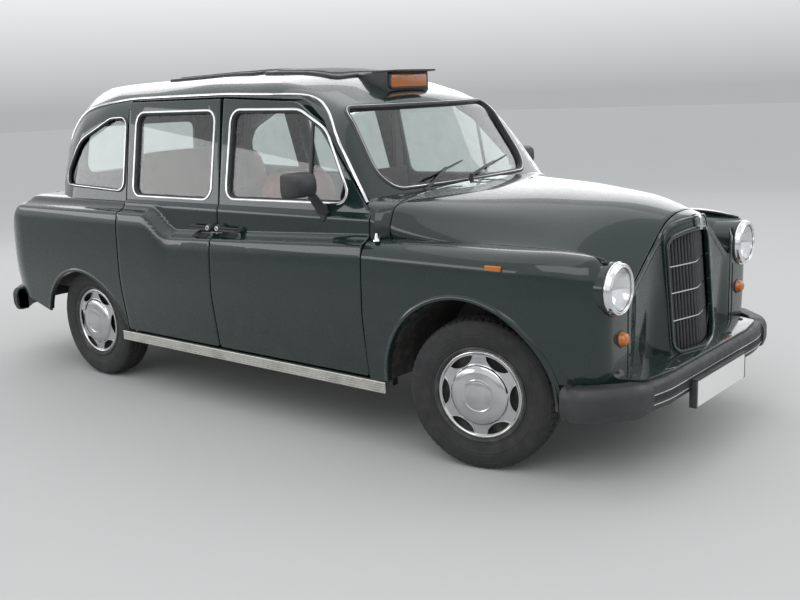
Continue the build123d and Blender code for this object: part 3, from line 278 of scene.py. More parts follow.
def pale_world(tone):
    """A pale surround that brightens upwards: seen, mirrored and seen through glass as it is coloured."""
    world = bpy.data.worlds.new("surround")
    bpy.context.scene.world = world
    world.use_nodes = True
    tree = world.node_tree
    tree.nodes.clear()
    height = node(tree, "SeparateXYZ", {"Vector": node(tree, "TexCoord", {}, "Generated")}, "Z")
    sky = blend_colors(tree, spread(tree, height, -0.005, 0.13), tuple(c * HORIZON_TONE for c in tone), tone)
    shown = node(tree, "Background", {"Color": sky}, "Background")
    lit = node(tree, "Background", {"Color": (0.95, 0.98, 1.0, 1), "Strength": 0.85}, "Background")
    path = tree.nodes.new("ShaderNodeLightPath")
    seen = times(tree, path.outputs["Is Camera Ray"], path.outputs["Is Glossy Ray"], "MAXIMUM")
    seen = times(tree, seen, path.outputs["Is Transmission Ray"], "MAXIMUM")
    mix = node(tree, "MixShader", {"Fac": seen, 1: lit, 2: shown}, "Shader")
    tree.links.new(mix, tree.nodes.new("ShaderNodeOutputWorld").inputs["Surface"])


def make_floor(tone):
    """A wide plain floor at ground level."""
    mesh = bpy.data.meshes.new("floor")
    reach = 60.0
    mesh.from_pydata([(-reach, -reach, 0), (reach, -reach, 0), (reach, reach, 0), (-reach, reach, 0)],
                     [], [(0, 1, 2, 3)])
    floor = linked("floor", mesh)
    made, tree, principled = shader("floor_finish", tone, 0.85)
    vary_base(tree, principled, cloud(tree, 0.8, 3), tone, 0.96)
    mesh.materials.append(made)


# Measures of the body, in metres, from the frame and its named clearances

SHUT_GAP = 0.008


def reach(node, axis, end):
    """How far a node goes along an axis (0, 1, 2), at its low end (0) or its high end (1)."""
    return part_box(node)[end][axis]


REAR_AXLE = sum(reach("tyre_rear_left", 0, end) for end in (0, 1)) / 2
FRONT_AXLE = sum(reach(f"tyre_front_{side}", 0, end) for side in ("left", "right") for end in (0, 1)) / 4
AXLE_HEIGHT = sum(reach("tyre_rear_left", 2, end) for end in (0, 1)) / 2
A_SEAM = reach("front_door_left", 0, 1) + SHUT_GAP / 2
B_SEAM = reach("rear_door_left", 0, 1) + SHUT_GAP / 2
C_SEAM = reach("rear_wings", 0, 1) + SHUT_GAP / 2
TAIL_FACE = reach("tail_panel", 0, 0)
LAMP_FACE = reach("headlamp_rings", 0, 0)
DOOR_FOOT = reach("front_door_left", 2, 0)
WAIST = 1.095
RAIL = 1.637
SEAM_LEAN = 0.045
WAIST_Y, RAIL_Y = 0.772, 0.657
SIDE_SLOPE = (WAIST_Y - RAIL_Y) / (RAIL - WAIST)

# The cab's side in section, low to high, at the front edge of the front doors
SIDE_ROWS = [
    # y, z, radius
    (0.834, 0.33, 0), (0.872, 0.64, 0.9), (0.863, 0.9, 0.26), (0.85, 0.962, 0.02), (0.808, 0.983, 0.012),
    (0.791, 0.998, 0.016), (0.787, 1.072, 0.05), (WAIST_Y, WAIST, 0.02), (RAIL_Y, RAIL, 0)]
# The ledge in that section falls towards the middle of the rear door, then rises in an S to the rear wing
LEDGE_FALL, LEDGE_RISE = 0.055, 0.117
LEDGE_LOW_X, LEDGE_HIGH_X = C_SEAM + 0.455, C_SEAM + 0.235


# Outlines and meshes

FORWARD, OUTWARD, UPWARD = np.eye(3)
MERGE_REACH, DEGENERATE_REACH = 2e-5, 1e-6


def rounded(corners, closed=True, turn=7.0):
    """An outline of (u, v, radius) corners with arcs at the round ones, a point every few degrees."""
    points = []
    count = len(corners)
    for i, (u, v, radius) in enumerate(corners):
        here = np.array((u, v))
        if radius <= 0 or (not closed and i in (0, count - 1)):
            points.append(here)
            continue
        back = np.array(corners[i - 1][:2]) - here
        ahead = np.array(corners[(i + 1) % count][:2]) - here
        room = 0.48 * min(np.linalg.norm(back), np.linalg.norm(ahead))
        back, ahead = back / np.linalg.norm(back), ahead / np.linalg.norm(ahead)
        half = acos(max(-1.0, min(1.0, float(back @ ahead)))) / 2
        run = min(radius / tan(half), room)
        middle = (back + ahead) / np.linalg.norm(back + ahead)
        centre = here + middle * run / cos(half)
        first, last = here + back * run - centre, here + ahead * run - centre
        sweep = pi - 2 * half
        steps = max(2, ceil(degrees(sweep) / turn))
        for k in range(steps + 1):
            a, b = sin(sweep * (1 - k / steps)), sin(sweep * k / steps)
            points.append(centre + (first * a + last * b) / sin(sweep))
    return np.array(points)


def unit(vectors):
    """Vectors at a length of one."""
    return vectors / np.maximum(np.linalg.norm(vectors, axis=-1, keepdims=True), 1e-12)


def grown(outline, by):
    """An outline moved outwards all round, in metres."""
    ahead = unit(np.roll(outline, -1, axis=0) - outline)
    tangent = unit(ahead + np.roll(ahead, 1, axis=0))
    nxt = np.roll(outline, -1, axis=0)
    area = np.sum(outline[:, 0] * nxt[:, 1] - nxt[:, 0] * outline[:, 1])
    normal = np.stack([tangent[:, 1], -tangent[:, 0]], 1) * (1 if area > 0 else -1)
    return outline + normal * by


def smooth_step(value, start, end):
    """0 to 1 as the value goes from start to end, with a soft start and finish."""
    t = np.clip((value - start) / (end - start), 0, 1)
    return t * t * (3 - 2 * t)


SIDE_LINE = rounded(SIDE_ROWS, closed=False, turn=4.0)


def side_y(x, z):
    """Half-width of the body's side at a place and height."""
    x, z = np.broadcast_arrays(np.asarray(x, float), np.asarray(z, float))
    fall = LEDGE_FALL * np.clip((A_SEAM - x) / (A_SEAM - LEDGE_LOW_X), 0, 1)
    shift = fall - LEDGE_RISE * smooth_step(x, LEDGE_LOW_X, LEDGE_HIGH_X)
    top = np.where(shift < 0, 1.055, 0.965)
    share = smooth_step(z, 0.6, 0.86) * (1 - smooth_step(z, top, WAIST - 0.003))
    return np.interp(z + shift * share, SIDE_LINE[:, 1], SIDE_LINE[:, 0])


def linked(name, data):
    """A new object in the scene."""
    made = bpy.data.objects.new(name, data)
    bpy.context.scene.collection.objects.link(made)
    return made


def mesh_object(name, points, faces):
    """A new mesh object, not yet dressed."""
    mesh = bpy.data.meshes.new(name)
    mesh.from_pydata([tuple(map(float, p)) for p in points], [], faces)
    mesh.update()
    return linked(name, mesh)


def faced_out(made, merge=False):
    """Turn a mesh's faces outwards, its doubled points merged first where asked."""
    work = bmesh.new()
    work.from_mesh(made.data)
    if merge:
        bmesh.ops.remove_doubles(work, verts=work.verts, dist=MERGE_REACH)
        bmesh.ops.dissolve_degenerate(work, edges=work.edges, dist=DEGENERATE_REACH)
    bmesh.ops.recalc_face_normals(work, faces=work.faces)
    work.to_mesh(made.data)
    work.free()
    return made


def reshaped(made, change):
    """Move a mesh's points to where a function of their places puts them."""
    co = np.zeros(len(made.data.vertices) * 3)
    made.data.vertices.foreach_get("co", co)
    made.data.vertices.foreach_set("co", change(co.reshape(-1, 3)).ravel())
    made.data.update()
    return made


def remove(*objects):
    """Take helper objects away again."""
    for made in objects:
        data = made.data
        bpy.data.objects.remove(made)
        if isinstance(data, bpy.types.Mesh):
            bpy.data.meshes.remove(data)
        else:
            bpy.data.curves.remove(data)


def settle(made):
    """Apply an object's modifiers to its mesh."""
    bpy.context.view_layer.update()
    graph = bpy.context.evaluated_depsgraph_get()
    mesh = bpy.data.meshes.new_from_object(made.evaluated_get(graph))
    old = made.data
    made.modifiers.clear()
    made.data = mesh
    bpy.data.meshes.remove(old)
    return made


def cut(made, *cutters, keep=False):
    """Cut closed shapes out of a closed mesh, or keep only what lies inside them. The cutters go."""
    for cutter in cutters:
        boolean = made.modifiers.new("cut", "BOOLEAN")
        boolean.operation = "INTERSECT" if keep else "DIFFERENCE"
        boolean.solver = "EXACT"
        boolean.object = cutter
        settle(made)
        remove(cutter)
    return made


def bevelled(made, width, segments=2, angle=40):
    """Round the edges sharper than an angle."""
    bevel = made.modifiers.new("bevel", "BEVEL")
    bevel.width = width
    bevel.segments = segments
    bevel.limit_method = "ANGLE"
    bevel.angle_limit = radians(angle)
    bevel.harden_normals = False
    return settle(made)


def joined(objects):
    """Several mesh objects as one."""
    work = bmesh.new()
    for made in objects:
        start = len(work.verts)
        work.from_mesh(made.data)
        work.verts.ensure_lookup_table()
        for vertex in work.verts[start:]:
            vertex.co = made.matrix_world @ vertex.co
    mesh = bpy.data.meshes.new("joined")
    work.to_mesh(mesh)
    work.free()
    remove(*objects)
    return linked("joined", mesh)


def copied(made, flip=False):
    """A copy of a mesh object, mirrored to the other side where asked."""
    result = made.copy()
    result.data = made.data.copy()
    bpy.context.scene.collection.objects.link(result)
    if flip:
        result.data.transform(Matrix.Scale(-1, 4, (0, 1, 0)))
        result.data.flip_normals()
    return result


def dress(made, name, slot, replaces="", body="root", angle=35):
    """Name a piece, give it its finish, shade it smooth and let it ride on its body."""
    made.name = made.data.name = name
    mesh = made.data
    mesh.materials.clear()
    mesh.materials.append(finishes[slot])
    mesh.polygons.foreach_set("material_index", [0] * len(mesh.polygons))
    mesh.shade_smooth()
    mesh.set_sharp_from_angle(angle=radians(angle))
    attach(made, body)
    if replaces:
        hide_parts(*replaces.split())
    return made


def dress_pair(made, name, slot, replaces="", body="root", angle=35):
    """Dress a left piece and its mirror image: {} is the side, and a node without it is replaced once."""
    for side in ("left", "right"):
        nodes = replaces.format(side) if "{}" in replaces or side == "left" else ""
        piece = copied(made, flip=side == "right")
        dress(piece, name.format(side), slot, nodes, body.format(side), angle)
    remove(made)


def prism(outline, axis, low, high):
    """A closed prism of an outline: its two measures are the other axes in order, its length along axis."""
    count = len(outline)
    others = [k for k in range(3) if k != axis]
    points = np.zeros((2 * count, 3))
    for row, level in enumerate((low, high)):
        part = points[row * count:(row + 1) * count]
        part[:, others[0]], part[:, others[1]], part[:, axis] = outline[:, 0], outline[:, 1], level
    faces = [tuple(range(count)), tuple(range(2 * count - 1, count - 1, -1))]
    faces += [(i, count + i, count + (i + 1) % count, (i + 1) % count) for i in range(count)]
    return faced_out(mesh_object("cutter", points, faces))


def box_of(x0, x1, y0, y1, z0, z1):
    """A closed block for cutting."""
    return prism(np.array([(x0, y0), (x1, y0), (x1, y1), (x0, y1)]), 2, z0, z1)


def circle(u, v, radius, count=96):
    """A round outline."""
    turn = np.linspace(0, 2 * pi, count, endpoint=False)
    return np.stack([u + radius * np.cos(turn), v + radius * np.sin(turn)], 1)


def plate(outline, holes, near, far, edge, levels=()):
    """A flat plate in x and z with rolled edges, its depth along y, cut at more levels for bending."""
    curve = bpy.data.curves.new("plate", "CURVE")
    curve.dimensions = "2D"
    curve.fill_mode = "BOTH"
    curve.extrude = (far - near) / 2 - edge
    curve.bevel_depth = edge
    curve.bevel_resolution = 2
    curve.offset = -edge
    for ring in (outline, *holes):
        spline = curve.splines.new("POLY")
        spline.points.add(len(ring) - 1)
        spline.points.foreach_set("co", np.hstack([ring, np.zeros((len(ring), 1)),
                                                   np.ones((len(ring), 1))]).ravel())
        spline.use_cyclic_u = True
    made = linked("plate", curve)
    bpy.context.view_layer.update()
    mesh = bpy.data.meshes.new_from_object(made.evaluated_get(bpy.context.evaluated_depsgraph_get()))
    remove(made)
    work = bmesh.new()
    work.from_mesh(mesh)
    bmesh.ops.remove_doubles(work, verts=work.verts, dist=1e-5)
    for axis, values in zip(np.eye(3), levels):
        for value in values:
            bmesh.ops.bisect_plane(work, geom=work.verts[:] + work.edges[:] + work.faces[:],
                                   plane_co=axis * value, plane_no=axis, dist=1e-5)
    middle = (near + far) / 2
    for vertex in work.verts:
        x, z, depth = vertex.co
        vertex.co = (x, depth - middle, z)
    bmesh.ops.recalc_face_normals(work, faces=work.faces)
    work.to_mesh(mesh)
    work.free()
    return linked("plate", mesh)


def bend_to_side(made):
    """Move a plate's depth out to the curved side of the body on the left."""
    return reshaped(made, lambda co: co + side_y(co[:, 0], co[:, 2])[:, None] * OUTWARD)


def grid_faces(rows, columns, start=0, flip=False):
    """Quads of a grid of points, stored row by row."""
    faces = []
    for i in range(rows - 1):
        for j in range(columns - 1):
            a = start + i * columns + j
            quad = (a, a + 1, a + columns + 1, a + columns)
            faces.append(quad[::-1] if flip else quad)
    return faces


def shell(outer, inner, dome=False):
    """A closed sheet between two grids of points. A dome's rows run right round."""
    rows, columns = outer.shape[:2]
    size = rows * columns
    faces = grid_faces(rows, columns) + grid_faces(rows, columns, size, flip=True)
    if dome:
        ring = [i * columns for i in range(rows)]
    else:
        edge = [(0, j) for j in range(columns)] + [(i, columns - 1) for i in range(1, rows)]
        edge += [(rows - 1, j) for j in range(columns - 2, -1, -1)] + [(i, 0) for i in range(rows - 2, 0, -1)]
        ring = [i * columns + j for i, j in edge]
        ring.append(ring[0])
    faces += [(a, size + a, size + b, b) for a, b in zip(ring, ring[1:])]
    points = np.concatenate([outer.reshape(-1, 3), inner.reshape(-1, 3)])
    return faced_out(mesh_object("shell", points, faces), merge=True)


def round_meet(a, b, radius):
    """Distance to two surfaces that meet in a round edge: below 0 inside both."""
    return np.minimum(-radius, np.maximum(a, b)) + np.hypot(np.maximum(radius + a, 0),
                                                            np.maximum(radius + b, 0))


CAST_STEPS = 44


def cast(distance, origins, ways, level=0.0, far=3.0):
    """Points where rays from inside a form reach its surface, or a level inside it."""
    low, high = np.zeros(len(origins)), np.full(len(origins), far)
    for _ in range(CAST_STEPS):
        middle = (low + high) / 2
        inside = distance(origins + ways * middle[:, None]) < level
        low, high = np.where(inside, middle, low), np.where(inside, high, middle)
    return origins + ways * low[:, None]


def cast_grid(distance, spots, rises, origin, level, far):
    """A surface as a grid of points: rays at each (x, azimuth) and rise, from an origin inside it."""
    origins, ways = [], []
    for x, azimuth in spots:
        a = radians(azimuth)
        for rise in rises:
            e = radians(rise)
            origins.append(origin(x, a))
            ways.append((cos(a) * cos(e), sin(a) * cos(e), sin(e)))
    return cast(distance, np.array(origins), np.array(ways), level, far).reshape(len(spots), len(rises), 3)


def side_of(distance, points, start, far):
    """Half-width of a form on the left at each point's x and z."""
    origins = points * np.array([1.0, 0.0, 1.0]) + start * OUTWARD
    return cast(distance, origins, OUTWARD, 0.0, far)[:, 1]


def sweep(path, outs, section, closed=True):
    """A section of (across, out) points carried along a path, out along one direction or one a point."""
    ahead = np.roll(path, -1, axis=0) - path
    behind = np.roll(ahead, 1, axis=0)
    if not closed:
        ahead[-1], behind[0] = path[-1] - path[-2], ahead[0]
    tangent = unit(unit(ahead) + unit(behind))
    outs = np.broadcast_to(outs, path.shape)
    outs = unit(outs - tangent * np.sum(outs * tangent, axis=1, keepdims=True))
    across = np.cross(tangent, outs)
    count, size = len(path), len(section)
    points = np.concatenate([path[i] + np.outer([s[0] for s in section], across[i])
                             + np.outer([s[1] for s in section], outs[i]) for i in range(count)])
    faces = []
    for i in range(count if closed else count - 1):
        a, b = i * size, (i + 1) % count * size
        faces += [(a + k, a + (k + 1) % size, b + (k + 1) % size, b + k) for k in range(size)]
    if not closed:
        faces += [tuple(range(size)), tuple(range(count * size - 1, (count - 1) * size - 1, -1))]
    return faced_out(mesh_object("sweep", points, faces))


def spaced(points, step, closed=True):
    """A path with points at an even spacing."""
    ring = np.vstack([points, points[:1]]) if closed else points
    run = np.concatenate([[0], np.cumsum(np.linalg.norm(np.diff(ring, axis=0), axis=1))])
    count = max(4, int(run[-1] / step))
    at = np.linspace(0, run[-1], count, endpoint=not closed)
    return np.stack([np.interp(at, run, ring[:, k]) for k in range(ring.shape[1])], 1)


def net_surface(net, rows, columns):
    """A smooth surface over a net of control points, as a grid of points."""
    def basis(count, samples, degree=3):
        knots = np.concatenate([np.zeros(degree), np.linspace(0, 1, count - degree + 1), np.ones(degree)])
        t = np.linspace(0, 1 - 1e-9, samples)
        value = [((knots[i] <= t) & (t < knots[i + 1])).astype(float) for i in range(len(knots) - 1)]
        for d in range(1, degree + 1):
            raised = []
            for i in range(len(knots) - d - 1):
                term = np.zeros(samples)
                if knots[i + d] > knots[i]:
                    term = term + (t - knots[i]) / (knots[i + d] - knots[i]) * value[i]
                if knots[i + d + 1] > knots[i + 1]:
                    term = term + (knots[i + d + 1] - t) / (knots[i + d + 1] - knots[i + 1]) * value[i + 1]
                raised.append(term)
            value = raised
        return np.array(value).T
    first = basis(net.shape[0], rows)
    second = basis(net.shape[1], columns)
    return np.einsum("ri,ijk,cj->rck", first, net, second)


def inward(grid, depth):
    """A grid of points moved along its normals, away from the side that it faces."""
    along = np.gradient(grid, axis=0)
    across = np.gradient(grid, axis=1)
    return grid - unit(np.cross(along, across)) * depth


# Doors

def front_door_ring(grow=0.0):
    """The front door's outline in x and z."""
    rear, front, top = B_SEAM + SHUT_GAP / 2 - grow, A_SEAM - SHUT_GAP / 2 + grow, RAIL - 0.005 + grow
    return rounded([
        (rear, DOOR_FOOT - grow, 0.018), (front, DOOR_FOOT - grow, 0.018), (front, WAIST + 0.008, 0.012),
        (front - 0.04, WAIST + 0.04 + grow, 0.02), (front - 0.37, 1.5 + grow, 0.15),
        (front - 0.54, 1.604 + grow, 0.16), (rear - SEAM_LEAN + 0.009, top, 0.01), (rear, WAIST, 0.06)])


def rear_door_ring(grow=0.0):
    """The rear door's outline in x and z."""
    rear, front, top = C_SEAM + SHUT_GAP / 2 - grow, B_SEAM - SHUT_GAP / 2 + grow, RAIL - 0.005 + grow
    return rounded([
        (rear, DOOR_FOOT - grow, 0.018), (front, DOOR_FOOT - grow, 0.018), (front, WAIST, 0.06),
        (front - SEAM_LEAN - 0.009, top, 0.01), (rear - SEAM_LEAN, top, 0.01), (rear, WAIST, 0.06)])


WINDOW_FOOT, WINDOW_TOP = 1.13, 1.572
FRONT_WINDOW = [
    (B_SEAM + 0.055, WINDOW_FOOT, 0.06), (A_SEAM - 0.13, WINDOW_FOOT + 0.008, 0.045),
    (A_SEAM - 0.33, 1.468, 0.16), (A_SEAM - 0.52, 1.564, 0.15), (B_SEAM + 0.04, WINDOW_TOP, 0.06)]
REAR_WINDOW = [
    (C_SEAM + 0.062, WINDOW_FOOT - 0.01, 0.06), (B_SEAM - 0.07, WINDOW_FOOT - 0.01, 0.06),
    (B_SEAM - 0.092, WINDOW_TOP, 0.06), (C_SEAM + 0.038, WINDOW_TOP, 0.06)]
QUARTER_WINDOW = [
    (C_SEAM - 0.025, WINDOW_FOOT + 0.005, 0.05), (C_SEAM - 0.048, 1.556, 0.06),
    (C_SEAM - 0.21, 1.552, 0.15), (C_SEAM - 0.5, 1.43, 0.2), (C_SEAM - 0.69, WINDOW_FOOT + 0.032, 0.06)]
DOOR_SKIN, DOOR_THICKNESS, DOOR_STEP = 0.018, 0.042, 0.01
EDGE_ROLL = 0.003


def bend_levels(low_x, high_x):
    """Where a side plate is cut so that it can follow the side."""
    heights = sorted(set(np.round(np.concatenate([
        np.arange(0.36, 0.9, 0.03), np.arange(0.9, 1.11, 0.006), np.arange(1.12, RAIL, 0.05)]), 4)))
    return np.arange(low_x + 0.02, high_x, 0.025), heights


def door_panel(ring, window):
    """A left door: outer skin, inner layer and the rolled edges of both, bent to the side."""
    hole = rounded(window)
    levels = bend_levels(ring()[:, 0].min(), ring()[:, 0].max())
    outer = plate(ring(), [hole], 0, DOOR_SKIN, EDGE_ROLL, levels)
    inner = plate(ring(-DOOR_STEP), [hole], DOOR_SKIN, DOOR_THICKNESS, EDGE_ROLL, levels)
    return joined([bend_to_side(outer), bend_to_side(inner)])


def side_path(outline, step=0.02, lift=0.0):
    """A path on the left side of the body through an x and z outline, with its outward directions."""
    flat = spaced(outline, step)
    y = side_y(flat[:, 0], flat[:, 1]) + lift
    tilt = (side_y(flat[:, 0], flat[:, 1] + 0.004) - side_y(flat[:, 0], flat[:, 1] - 0.004)) / 0.008
    outs = np.stack([np.zeros(len(flat)), np.ones(len(flat)), -tilt], 1)
    return np.stack([flat[:, 0], y, flat[:, 1]], 1), outs


def oval(width, height, lift=0.0, count=12):
    """A rounded section of a given width and height."""
    turn = np.linspace(0, 2 * pi, count, endpoint=False)
    return [(width / 2 * copysign(abs(cos(t)) ** 0.7, cos(t)),
             lift + height / 2 * copysign(abs(sin(t)) ** 0.7, sin(t))) for t in turn]


def window_trim(window, width):
    """The bright frame round a side window and the black channel that holds its glass."""
    path, outs = side_path(grown(rounded(window, turn=5.0), 0.004))
    bright = sweep(path, outs, oval(width, 0.008, 0.0005))
    path, outs = side_path(grown(rounded(window, turn=5.0), -0.006))
    channel = sweep(path, outs, oval(0.014, 0.03, -0.017))
    return bright, channel


# Greenhouse: roof, pillars and quarters

SCREEN_RAKE, PILLAR_RADIUS = radians(33.7), 4.0
GLASS_DEPTH, GLASS_THICKNESS = 0.016, 0.005
SCREEN_MIDDLE = np.array([A_SEAM - 0.014, 0, 1.226])
BACK_RAKE, BACK_RADIUS = radians(-12), 1.75
BACK_MIDDLE = np.array([REAR_AXLE - 0.56, 0, 1.15])
ROOF_ROWS = [
    (REAR_AXLE - 0.9, 1.738, 0), (B_SEAM - 0.3, 1.775, 4.0), (B_SEAM + 0.36, 1.752, 1.5),
    (FRONT_AXLE - 0.83, 1.606, 0.3), (FRONT_AXLE, 1.3, 0)]
ROOF_LINE = rounded(ROOF_ROWS, closed=False, turn=0.7)
ROOF_CROWN = 2.9
ROOF_EDGE, HEADER_EDGE, REAR_EDGE, QUARTER_EDGE = 0.125, 0.036, 0.3, 0.24
SHELL = 0.045


def drum(points, middle, rake, radius, facing):
    """Distance out of a large raked drum that bounds the front or the back."""
    out = np.array([cos(rake), 0, sin(rake)]) * facing
    away = points - (middle - out * radius)
    return np.hypot(away @ out, points[:, 1]) - radius


def cab_distance(points):
    """Distance to the outside of the cab above the waist."""
    x, y, z = points.T
    side = (np.abs(y) - (WAIST_Y - SIDE_SLOPE * (z - WAIST))) / hypot(1, SIDE_SLOPE)
    roof = z - (np.interp(x, ROOF_LINE[:, 0], ROOF_LINE[:, 1]) - y * y / (2 * ROOF_CROWN))
    back = drum(points, BACK_MIDDLE, BACK_RAKE, BACK_RADIUS, -1)
    wall = round_meet(side, back, QUARTER_EDGE)
    edge = ROOF_EDGE + (REAR_EDGE - ROOF_EDGE) * smooth_step(x, REAR_AXLE + 0.2, REAR_AXLE - 0.35)
    body = round_meet(wall, roof, edge)
    return round_meet(body, drum(points, SCREEN_MIDDLE, SCREEN_RAKE, PILLAR_RADIUS, 1), HEADER_EDGE)


def cab_grid(level):
    """The cab's surface from the waist to the roof's middle, on the left and then mirrored."""
    fore, aft, base = A_SEAM - 0.5, REAR_AXLE - 0.1, WAIST - 0.01
    spots = [(fore, a) for a in np.linspace(0, 90, 46)]
    spots += [(x, 90.0) for x in np.arange(fore - 0.025, aft, -0.025)]
    spots += [(aft, a) for a in np.linspace(90, 180, 46)]
    left = cast_grid(cab_distance, spots, np.linspace(0, 90, 64), lambda x, a: (x, 0, base), level, 3.0)
    right = left[::-1] * np.array([1, -1, 1])
    return np.concatenate([left, right[1:]])


SCREEN_OUTLINE = [(-0.59, 1.575, 0.07), (0.59, 1.575, 0.07), (0.63, 1.18, 0.12), (-0.63, 1.18, 0.12)]
BACK_OUTLINE = [(-0.44, 1.515, 0.09), (0.44, 1.515, 0.09), (0.47, 1.185, 0.09), (-0.47, 1.185, 0.09)]


def cab_shell():
    """Roof, pillars and rear quarters in one smooth shell with its openings."""
    made = shell(cab_grid(0.0), cab_grid(-SHELL), dome=True)
    half = SHUT_GAP / 2
    opening = rounded([
        (C_SEAM - half, 0.9, 0), (A_SEAM + half, 0.9, 0), (A_SEAM + half, WAIST + 0.008, 0),
        (A_SEAM - 0.038, WAIST + 0.048, 0.02), (A_SEAM - 0.368, 1.51, 0.15), (A_SEAM - 0.538, 1.614, 0.16),
        (B_SEAM - SEAM_LEAN + 0.01, RAIL + 0.004, 0), (C_SEAM - SEAM_LEAN - half, RAIL + 0.004, 0.01),
        (C_SEAM - half, WAIST, 0.06)])
    cutters = [prism(opening, 1, -1, 1), prism(rounded(QUARTER_WINDOW), 1, -1, 1)]
    cutters.append(prism(rounded(SCREEN_OUTLINE), 0, FRONT_AXLE - 1.1, FRONT_AXLE))
    cutters.append(prism(rounded(BACK_OUTLINE), 0, REAR_AXLE - 0.9, REAR_AXLE - 0.2))
    return cut(made, *cutters)


def fixed_glass():
    """The windscreen, the rear window and the quarter windows, set just under the shell's surface."""
    panes = []
    for outline, axis, low, high in ((SCREEN_OUTLINE, 0, FRONT_AXLE - 1.1, FRONT_AXLE),
                                     (BACK_OUTLINE, 0, REAR_AXLE - 0.9, REAR_AXLE - 0.2),
                                     (QUARTER_WINDOW, 1, -1, 1)):
        sheet = shell(cab_grid(-GLASS_DEPTH), cab_grid(-GLASS_DEPTH - GLASS_THICKNESS), dome=True)
        cutter = prism(grown(rounded(outline), -0.001), axis, low, high)
        panes.append(cut(sheet, cutter, keep=True))
    return joined(panes)


def on_surface(distance, flat, axis, way, start):
    """An outline sent along an axis until it reaches a surface, and the surface's directions out."""
    others = [k for k in range(3) if k != axis]
    origins = np.zeros((len(flat), 3))
    origins[:, others[0]], origins[:, others[1]], origins[:, axis] = flat[:, 0], flat[:, 1], start
    ways = np.zeros((len(flat), 3))
    ways[:, axis] = way
    points = cast(distance, origins, ways)
    step = 1e-4
    outs = np.stack([distance(points + step * np.eye(3)[k]) - distance(points - step * np.eye(3)[k])
                     for k in range(3)], 1)
    return points, unit(outs)


DRIP_ROWS = [
    (A_SEAM - 0.046, 1.14, 0), (A_SEAM - 0.202, 1.365, 1.2), (A_SEAM - 0.348, 1.536, 0.22),
    (A_SEAM - 0.505, 1.632, 0.3), (B_SEAM - 0.056, RAIL + 0.016, 0.3), (C_SEAM - 0.064, RAIL + 0.015, 1.2),
    (C_SEAM - 0.594, 1.594, 0.26), (C_SEAM - 0.819, 1.11, 0)]


def drip_rail(width):
    """The bright gutter over the left doors and down the rear quarter."""
    flat = rounded(DRIP_ROWS, closed=False, turn=4.0)
    for _ in range(4):
        middle = flat[1:-1] * 0.5 + (flat[:-2] + flat[2:]) * 0.25
        flat = spaced(np.vstack([flat[:1], middle, flat[-1:]]), 0.02, closed=False)
    points, outs = on_surface(cab_distance, flat, 1, 1, 0.3)
    for _ in range(10):
        points[1:-1] = points[1:-1] * 0.5 + (points[:-2] + points[2:]) * 0.25
    return sweep(points, outs, oval(width, 0.016, 0.003, 10), closed=False)


# Bonnet, wings and nose

BONNET_START = reach("bonnet", 0, 0)
BONNET_END = reach("bonnet", 0, 1)
BONNET_HALF = reach("bonnet", 1, 1)
BONNET_ROWS = [
    # ahead of the rear edge, crown z, shoulder y and z, valley y and z, edge y and z, foot z
    (0.0, 1.192, 0.655, 1.14, 0.697, 1.045, 0.699, 1.0, 0.978),
    (0.455, 1.178, 0.545, 1.1, 0.668, 1.0, 0.688, 0.984, 0.973),
    (0.855, 1.136, 0.38, 1.048, 0.6, 0.925, 0.65, 0.952, 0.964),
    (1.005, 1.094, 0.29, 1.01, 0.548, 0.815, 0.59, 0.93, 0.958),
    (1.055, 1.075, 0.265, 0.985, 0.545, 0.765, 0.578, 0.92, 0.955)]


def seam_width(x):
    """Half-width of the bonnet at its shut line with the wings: wider towards the scuttle."""
    return BONNET_HALF + 0.045 * smooth_step(x, BONNET_START + 0.6, BONNET_START - 0.05)


def bonnet_net():
    """Control points of the bonnet's surface, from its rear edge to its front."""
    net = []
    places = [r[0] for r in BONNET_ROWS]
    for ahead in (0, 0.15, 0.32, 0.5, 0.68, 0.84, 0.95, 1.055):
        crown, sy, sz, vy, vz, ey, ez, foot = (
            float(np.interp(ahead, places, [r[k] for r in BONNET_ROWS])) for k in range(1, 9))
        half = [(BONNET_HALF, foot), ((ey + BONNET_HALF) / 2, (ez + foot) / 2), (ey, ez), (vy, vz),
                ((sy + vy) / 2, (sz + vz) / 2), (sy, sz), (sy * 0.66, sz + (crown - sz) * 0.68),
                (sy * 0.3, crown - 0.004), (0, crown)]
        row = half + [(-y, z) for y, z in reversed(half[:-1])]
        wide = float(seam_width(BONNET_START + ahead)) / BONNET_HALF
        net.append([(BONNET_START + ahead, y * wide, z) for y, z in row])
    return np.array(net)


def bonnet_lid(panel):
    """The one-piece bonnet, its edges turned down."""
    grid = net_surface(bonnet_net(), 90, 150)
    grid[:, :, 0] = np.clip(grid[:, :, 0], BONNET_START, BONNET_END)
    lid = shell(grid, inward(grid, -panel))
    return bevelled(lid, 0.003, 2, 50)


WING_TOP = 0.984
NOSE_FACE = LAMP_FACE


def wing_distance(points):
    """Distance to the outside of the left front wing."""
    x, y, z = points.T
    inset = 0.1 * np.clip((x - (FRONT_AXLE + 0.12)) / 0.48, 0, 1.2) ** 2
    width = np.interp(z, [0.25, 0.45, 0.64, 0.8, 1.0], [0.826, 0.853, 0.87, 0.867, 0.858]) - inset
    side = y - width
    top = z - (WING_TOP - 0.034 * np.clip((x - 1.86) / 0.27, 0, 1.2) ** 2 - 0.05 * (0.76 - y) ** 2)
    body = round_meet(side, top, 0.088)
    return round_meet(body, x - NOSE_FACE + 0.25 * (y - 0.62) ** 2, 0.085)


